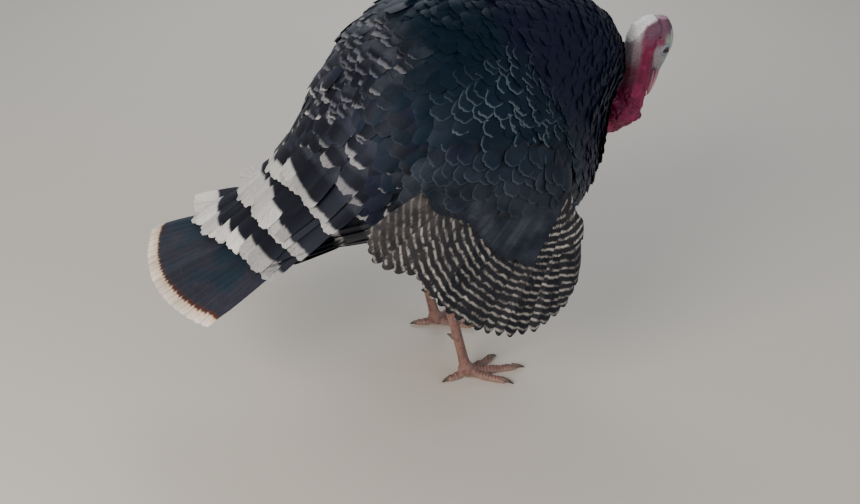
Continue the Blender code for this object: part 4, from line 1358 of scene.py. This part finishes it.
def paint_skin():
    places = points_of(flesh)
    down, crown = on_head_axes(places)
    x, z = places[:, 0] - HIP_X, places[:, 2]
    middle = np.interp(z, [p[1] for p in NECK_LINE], [p[0] for p in NECK_LINE])
    hind = ramp(middle - x, 0.002, 0.020)
    cloud = np.array([noise.noise(Vector(p) * 130) for p in places]) * 0.5 + 0.5
    patches = np.array([noise.noise(Vector(p) * 60 + Vector((5, 5, 5))) for p in places])
    # Skin starts near black: painted shade under the coat, which shows in the gaps between the feathers.
    tone = np.tile(np.array(linear("#1B1C21")[:3]), (len(places), 1))

    def lay(hexa, share):
        nonlocal tone
        share = np.clip(share, 0, 1)[:, None]
        tone = tone * (1 - share) + np.array(linear(hexa)[:3]) * share

    legs_zone = (1 - ramp(z, 0.172, 0.184)) * (1 - ramp(x, 0.15, 0.16))
    lay("#8C6A62", legs_zone)
    lay("#6E4F4B", legs_zone * ramp(cloud, 0.45, 0.75) * 0.8)
    lay("#A78C80", legs_zone * (1 - ramp(z, 0.004, 0.012)) * 0.7)
    flip = np.ones((len(places), 3))
    flip[:, 1] = -np.sign(places[:, 1])
    on_shank, shin, toe_top, shank_groove, toe_groove = leg_plates(places * flip, normals_of(flesh) * flip)
    groove_shade = np.maximum(on_shank * shin * shank_groove, (1 - on_shank) * toe_top * toe_groove)
    # The grooves between the plates of shanks and toes are darkened: painted shade in the grooves.
    lay("#3E2B29", legs_zone * groove_shade * 0.8)
    ahead = x > 0.20
    far = {}
    for solid in ("head", "neck", "caruncles", "snood"):
        far[solid] = np.ones(len(places))
        far[solid][ahead] = distance_to(solid, places[ahead])
    front = 1 - ramp(np.minimum.reduce(list(far.values())), 0.0045, 0.0085)
    lay("#7A0A40", front)
    lay("#5E0630", front * ramp(cloud, 0.50, 0.80) * 0.75)
    lay("#A62A60", front * ramp(patches, 0.10, 0.45) * 0.55)
    lay("#7E4F5F", front * hind * ramp(z, 0.448, 0.486) * 0.8)
    lay("#A3939B", front * hind * ramp(z, 0.490, 0.515))
    head = (1 - ramp(far["head"], 0.0018, 0.0042)) * (1 - ramp(down, 0.084, 0.091))
    crest = crown + 0.25 * (down - 0.05)
    edge_x = np.interp(z, (0.530, 0.540, 0.556, 0.564), (0.287, 0.289, 0.2915, 0.296))
    side_head = ramp(x - edge_x, -0.003, 0.005) * (1 - ramp(down, 0.031, 0.046))
    lay("#6E475B", front * side_head)
    lay("#8C2A55", front * side_head * ramp(down, 0.020, 0.040) * 0.6)
    lay("#928991", front * head * ramp(crest, -0.0155, -0.0095) * ramp(down, 0.036, 0.050))
    lay("#8B958F", front * head * ramp(crown, -0.001, 0.006) * ramp(down, 0.018, 0.032))
    lay("#B2BCB5", front * head * ramp(crown, 0.010, 0.016) * ramp(down, 0.012, 0.022))
    arch_z = np.interp(x, (0.270, 0.290, 0.300, 0.310, 0.325), (0.530, 0.5555, 0.5650, 0.5695, 0.5745))
    arch = ramp(z - arch_z, -0.002, 0.004)
    lay("#C9C3CA", front * ramp(z, 0.535, 0.552) * (1 - ramp(x - edge_x, -0.006, 0.002)))
    lay("#F2EFF0", front * arch * (1 - ramp(crown, -0.012, 0.004)))
    lay("#C59DB0", front * ramp(z, 0.5705, 0.5745) * ramp(crown, -0.012, 0.0) * 0.75)
    for side, eye, ear in zip(SIDES, EYES, EARS):
        lay("#7E8B9A", bell(far_from(eye, places) - 0.0088, 0.0020) * 0.65 * front)
        # The ear openings are darkened: painted shade in their hollows.
        lay("#3A1A26", bell(far_from(ear, places), 0.0024) * front)
        # Two dark purple spots on each side, by the corner of the bill, are painted shade at the gape.
        for drop, back, size in ((0.085, -0.004, 0.0042), (0.087, -0.009, 0.0038)):
            spot = OCCIPUT + HEAD_DOWN * drop + CROWN * back + SIDE * (side * 0.011)
            lay("#4A2440", bell(far_from(spot, places), size) * 0.85 * front)
    on_snood = 1 - ramp(far["snood"], 0.0012, 0.003)
    lay("#B23A52", on_snood)
    lay("#C99AA6", on_snood * ramp(cloud, 0.5, 0.8) * 0.5)
    keep(flesh.data, "tone", np.concatenate([tone, np.ones((len(places), 1))], axis=1), "FLOAT_COLOR")


# %% The material of the skin
def skin_finish():
    """Live skin: soft, faintly see-through, with fine pores and threads of blood."""
    material = new_material("bare_skin_warty_and_flushed")
    tone = add(material.node_tree, "ShaderNodeAttribute", attribute_name="tone")["Color"]
    spot = add(material.node_tree, "ShaderNodeTexCoord")["Object"]
    pores = spot.to("ShaderNodeTexVoronoi", inputs={"Scale": 900.0}, feature="SMOOTH_F1")
    blood = spot.to("noise", 420.0, 4.0)
    return shade(
        material, Base_Color=times_grey(tone, blood.to("step", 0.3, 0.7) * 0.35 + 0.80),
        Roughness=blood * 0.25 + 0.34, Normal=pores.to("bump", 0.35, 0.0005), IOR=1.42,
        Subsurface_Weight=0.12, Subsurface_Scale=0.003, Subsurface_Radius=(1.0, 0.35, 0.25))


paint_skin()
flesh.data.materials.clear()
flesh.data.materials.append(skin_finish())
flesh.data.shade_smooth()
hand_over(flesh, "skin_red", "trunk", "neck_plumage", "tail_coverts", "neck", "head", "snood", "caruncles",
          *[f"{part}_{side}" for part in ("thigh", "shank", "foot") for side in ("right", "left")])

# %% [markdown]
# ## Eyes
# A turkey's eye is dark brown with a black pupil and looks nearly black from a step away. The ball is a
# sphere with the slight bulge of the cornea. Each point keeps its place on the unit ball, with the pupil at
# its pole, so that iris and pupil are true circles. A thin rim of skin runs round the opening of the lids.

# %% Eyes
def eye_finish():
    material = new_material("eye_wet_cornea_over_brown_iris")
    ball = add(material.node_tree, "ShaderNodeAttribute", attribute_name="ball")["Vector"]
    flat = ball.to("ShaderNodeVectorMath", (1.0, 1.0, 0.0), operation="MULTIPLY")
    off = flat.to("ShaderNodeVectorMath", operation="LENGTH")["Value"]
    fibres = add(material.node_tree, "ShaderNodeTexCoord")["Object"].to("noise", 1600.0, 3.0)
    colour = off.to("step", 0.36, 0.42).to("blend", "#030303", fibres.to("blend", "#1E1009", "#442611"))
    colour = off.to("step", 0.62, 0.76).to("blend", colour, "#0D0908")
    return shade(material, Base_Color=colour, Roughness=fibres * 0.04 + 0.05, IOR=1.38, Coat_Weight=0.6,
                 Coat_Roughness=0.02)


def eyeball(name, centre, sign):
    work = bmesh.new()
    bmesh.ops.create_uvsphere(work, u_segments=40, v_segments=28, radius=1.0)
    look = (SIDE * sign + CROWN * 0.10 + HEAD_DOWN * 0.12).normalized()
    turn = look.to_track_quat("Z", "Y").to_matrix()
    ball = []
    for vertex in work.verts:
        in_front = vertex.co.z > 0
        ball.append(tuple(vertex.co) if in_front else (1.0, 0.0, 0.0))
        off = math.hypot(vertex.co.x, vertex.co.y) if in_front else 1.0
        bulge = 1 + 0.055 * (1 - ramp(off, 0.0, 0.75))
        vertex.co = centre + turn @ (vertex.co * (EYE_RADIUS * bulge))
    mesh = mesh_of(work, name + "_ball")
    mesh.shade_smooth()
    mesh.materials.append(eye_material)
    keep(mesh, "ball", ball, "FLOAT_VECTOR")
    return hand_over(placed(name + "_ball", mesh), "eye", name)


# %% Lid rims
def between(number, sides, closed=False):
    """Quads from each ring of points to the next, and for a closed loop from the last ring to the first."""
    pairs = [(k, (k + 1) % number) for k in range(number if closed else number - 1)]
    return [(k * sides + i, k * sides + (i + 1) % sides, m * sides + (i + 1) % sides, m * sides + i)
            for k, m in pairs for i in range(sides)]


def ring_tube(name, path, radii, sides, material):
    """A closed tube along a closed path."""
    points = []
    for k, (point, radius) in enumerate(zip(path, radii)):
        along = (path[(k + 1) % len(path)] - path[k - 1]).normalized()
        first = along.orthogonal().normalized() if k == 0 else first - along * first.dot(along)
        first = first.normalized()
        second = along.cross(first)
        for a in around(sides):
            points.append(point + first * (radius * math.cos(a)) + second * (radius * math.sin(a)))
    return mesh_object(name, points, between(len(path), sides, closed=True), material)


def lid_rim(name, centre, sign):
    """A thin roll of skin along the edge of the opening, just above the ball."""
    path = []
    for a in around(36):
        flat = HEAD_DOWN * (LID_HALF[1] * math.cos(a)) + CROWN * (LID_HALF[0] * math.sin(a))
        flat = Matrix.Rotation(LID_LEAN, 3, "Y") @ flat
        out = math.sqrt((EYE_RADIUS + 0.0003) ** 2 - flat.length_squared)
        path.append(centre + flat + SIDE * (sign * out))
    radii = [0.00058 + 0.00012 * math.sin(3 * k) for k in range(len(path))]
    return hand_over(ring_tube(name + "_lid_rim", path, radii, 6, lid_skin), "skin_pale")


lid_skin = new_material("eyelid_rim_bluish_skin", Roughness=0.42)
lid_cloud = add(lid_skin.node_tree, "ShaderNodeTexCoord")["Object"].to("noise", 900.0)
shade(lid_skin, Base_Color=lid_cloud.to("blend", "#3E444F", "#6F7A88"))
eye_material = eye_finish()
for name, sign, centre in zip(("eye_right", "eye_left"), SIDES, EYES):
    eyeball(name, centre, sign)
    lid_rim(name, centre, sign)
print("eyes and lid rims made")

# %% [markdown]
# ## Bill, claws and spurs
# All are horn over a core of bone. The bill is lofted along the same bent line as its solid, in many more
# rings, with a nostril on each side, and it starts a little deeper in the head so that no gap shows at its
# root. Claws and spurs are tapered hooks, each drawn from the root to the tip of its own solid.

# %% The material of horn
def horn(name, pale, dark, scale=240.0, roughness=0.36):
    material = new_material(name)
    near_tip = add(material.node_tree, "ShaderNodeAttribute", attribute_name="tip_share")["Fac"]
    spot = add(material.node_tree, "ShaderNodeTexCoord")["Object"]
    grain = spot.to("ShaderNodeMapping", inputs={"Scale": (1.0, 1.0, 0.22)}).to("noise", scale * 3, 4.0)
    share = spot.to("noise", scale) * 0.5 + (near_tip - 0.25)
    colour = share.to("step", 0.0, 1.0).to("blend", pale, dark)
    return shade(material, Base_Color=times_grey(colour, grain * 0.3 + 0.85), IOR=1.55,
                 Roughness=grain * 0.2 + (roughness - 0.1), Normal=grain.to("bump", 0.25, 0.0004))


def lofted(name, rings, shares, material):
    """A closed skin over rings, which keeps how near each ring is to the tip."""
    sides = len(rings[0])
    points = [p for ring in rings for p in ring] + [sum(r, Vector()) / sides for r in (rings[0], rings[-1])]
    faces = between(len(rings), sides)
    root, tip, last_ring = len(points) - 2, len(points) - 1, (len(rings) - 1) * sides
    faces += [((i + 1) % sides, i, root) for i in range(sides)]
    faces += [(last_ring + i, last_ring + (i + 1) % sides, tip) for i in range(sides)]
    made = mesh_object(name, points, faces, material)
    work = bmesh.new()
    work.from_mesh(made.data)
    bmesh.ops.recalc_face_normals(work, faces=work.faces)
    work.to_mesh(made.data)
    work.free()
    keep(made.data, "tip_share", [s for s in shares for _ in range(sides)] + [shares[0], shares[-1]])
    return made


# %% Bill
bill_horn = horn("bill_horn_mauve_at_the_root_and_pink_at_the_tip", "#8F6479", "#E0A6B2")
NOSTRIL = OCCIPUT + HEAD_DOWN * 0.0965 + CROWN * 0.0036
BILL_RINGS = 24
BURIED = 0.16  # how far the bill starts behind its visible root, as a share of its length


def bill_half(name, reach, width, rise, drop, below):
    """One half of the bill: its reach as a share, and half its width, its height and depth in metres."""
    rings, shares = [], []
    for k in range(BILL_RINGS + 1):
        t = -BURIED + (reach + BURIED) * (1 - (1 - k / BILL_RINGS) ** 1.3)
        clear = max(0.0, t)
        blunt = 0.07 if k < BILL_RINGS else 0.035
        slim = math.sqrt(max(0.0, 1 - clear ** 1.7)) * (1 - 0.25 * clear) + blunt
        spot = OCCIPUT + HEAD_DOWN * (0.083 + 0.050 * t) - CROWN * (0.0060 * clear ** 2.4)
        spot = spot - CROWN * (below * slim)
        ring = []
        for a in around(24):
            high = rise if math.sin(a) > 0 else drop
            ridge = 1 + 0.10 * max(0.0, math.sin(a)) ** 8
            point = spot + SIDE * (width * slim * math.cos(a)) + CROWN * (high * slim * math.sin(a) * ridge)
            if rise > drop:
                hole = (point - NOSTRIL) * 1000
                deep = math.exp(-((hole.z / 2.6) ** 2) - ((hole.x / 1.1) ** 2))
                point -= SIDE * (0.0016 * deep * math.copysign(1, point.y))
            ring.append(point)
        rings.append(ring)
        shares.append(min(1.0, max(0.0, t / reach)))
    return hand_over(lofted(name + "_horn", rings, shares, bill_horn), "bill", name)


bill_half("bill_upper", 1.00, 0.0098, 0.0088, 0.0012, 0.0)
bill_half("bill_lower", 0.86, 0.0090, 0.0014, 0.0050, 0.0030)
print("bill made")

# %% Claws and spurs
claw_horn = horn("claw_horn_dark_brown", "#6B574B", "#2A211C", 300.0, 0.4)
HOOK_RINGS = 12
DEEPER = 0.30  # how far a hook starts inside the toe, as a share of its length


def hook(node, near, bow):
    """A tapered hook from the root of a solid, seen from a point near it, to its tip."""
    places = np.array([tuple(v.co) for v in nodes[node].data.vertices])
    far = far_from(near, places)
    tip = Vector(places[far.argmax()])
    base_ring = places[far < far.min() + 0.0025]
    root = Vector(base_ring.mean(axis=0))
    radius = float(far_from(root, base_ring).max())
    aim = (tip - root).normalized()
    side = aim.cross(Vector((0, 0, 1))).normalized()
    up = side.cross(aim)
    rings, shares = [], []
    for k in range(HOOK_RINGS + 1):
        t = -DEEPER + (1 + DEEPER) * k / HOOK_RINGS
        size = max(0.00035, radius * (1 - max(0.0, t)) ** 0.62)
        spot = root.lerp(tip, t) + up * (bow * math.sin(math.pi * max(0.0, t)))
        ring = [spot + side * (size * 0.86 * math.cos(a)) + up * (size * math.sin(a)) for a in around(14)]
        for point in ring:
            point.z = max(point.z, 0.0002)
        rings.append(ring)
        shares.append(min(1.0, max(0.0, t)))
    return hand_over(lofted(node + "_horn", rings, shares, claw_horn), "claw", node)


for side, sign in zip(("right", "left"), SIDES):
    for toe in ("middle", "outer", "inner", "hind"):
        hook(f"claw_{side}_{toe}", Vector((ANKLE.x, sign * 0.088, 0.010)), 0.0012)
    hook(f"spur_{side}", Vector((-0.037 + HIP_X, sign * 0.087, 0.082)), 0.0008)
print("claws and spurs made")

# %% [markdown]
# ## Beard
# The beard is a tuft of stiff black bristles, thin as horsehair. Each bristle is a curve of its own, and one
# Geometry Nodes tree gives all of them their thickness along those curves.

# %% Bristles of the beard
BEARD_BRISTLES, BEARD_STEPS = 150, 6


def beard_tree():
    tree, given, keys = open_tree(
        "thicken_bristles", ("Bristle radius", "Float"), ("Bristle sides", "Int"), ("Finish", "Material"))
    profile = add(tree, "GeometryNodeCurvePrimitiveCircle", inputs={
        "Resolution": given["Bristle sides"], "Radius": given["Bristle radius"]})
    slim = add(tree, "GeometryNodeSplineParameter")["Factor"].to("ShaderNodeMapRange", 0.6, 1.0, 1.0, 0.35)
    tubes = given["Geometry"].to("GeometryNodeMeshToCurve").to("GeometryNodeCurveToMesh", inputs={
        "Profile Curve": profile, "Scale": slim, "Fill Caps": True})
    painted = tubes.to("GeometryNodeRealizeInstances").to("GeometryNodeSetMaterial", inputs={
        "Material": given["Finish"]})
    painted.to("NodeGroupOutput")
    return tree, keys


def make_beard():
    low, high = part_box("beard")
    top = Vector(((low.x + high.x) / 2 - 0.006, (low.y + high.y) / 2, high.z + 0.010))
    hair_rng = np.random.default_rng(21)
    points, edges = [], []
    for _ in range(BEARD_BRISTLES):
        a, r = hair_rng.random() * 2 * math.pi, math.sqrt(hair_rng.random())
        length = (high.z - low.z + 0.008) * (0.80 + 0.20 * hair_rng.random())
        for k in range(BEARD_STEPS + 1):
            t = k / BEARD_STEPS
            spread = 0.0038 + 0.0030 * t
            if k:
                edges.append((len(points) - 1, len(points)))
            points.append(top + Vector((r * math.cos(a) * spread + 0.018 * math.sin(2.2 * t),
                                        r * math.sin(a) * spread * 1.2, -length * t)))
    black = horn("bristle_keratin_black", "#1C1B1D", "#0C0B0C", 500.0, 0.5)
    made = mesh_object("beard_bristles", points, [], edges=edges)
    grow(made, *beard_tree(), Bristle_radius=0.00055, Bristle_sides=5, Finish=black)
    print("beard", count(made), "triangles")
    return hand_over(made, "beard", "beard")


make_beard()

# %% [markdown]
# ## Floor, light and camera
# The floor is plain pale paper. A warm lamp stands behind the bird on its right, a weaker cool one ahead of
# it on the same side, and one on its left lights its edges. None of this is part of the bird.

# %% Floor, light and camera
paper = new_material("pale_matte_paper", Base_Color="#D9D3C8", Roughness=0.9)
floor = mesh_object("floor", [(-8, -8, 0), (8, -8, 0), (8, 8, 0), (-8, 8, 0)], [(0, 1, 2, 3)], paper)

LENS, DIP = 48.1395, 28.45  # focal length in mm, and how many degrees the camera looks down
HEADING = math.atan2(0.956, 0.292)
camera = placed("camera", bpy.data.cameras.new("camera"))
camera.data.sensor_width = 36.0
camera.data.lens = LENS
camera.location = (-0.558 + HIP_X, -1.632, 1.126)
camera.rotation_euler = Euler((math.radians(90 - DIP), 0.0, HEADING - math.pi / 2))
bpy.context.scene.camera = camera


def soft_light(name, place, aim, size, power, colour):
    lamp = placed(name, bpy.data.lights.new(name, "AREA"))
    lamp.data.size = size
    lamp.data.energy = power
    lamp.data.color = linear(colour)[:3]
    lamp.location = place
    lamp.rotation_euler = (Vector(aim) - Vector(place)).to_track_quat("-Z", "Y").to_euler()


soft_light("key_light", (-1.9, -1.5, 1.5), (-0.2, 0, 0.30), 1.5, 62, "#FFF4E8")
soft_light("fill_light", (2.2, -2.4, 1.6), (0, 0, 0.35), 2.5, 22, "#EAF1FF")
soft_light("rim_light", (0.6, 2.6, 2.4), (0, 0, 0.35), 1.8, 40, "#F4F7FF")
world = bpy.data.worlds.new("studio")
world.use_nodes = True
background = world.node_tree.nodes["Background"]
background.inputs["Color"].default_value = linear("#DDE2E8")
background.inputs["Strength"].default_value = 0.42
bpy.context.scene.world = world
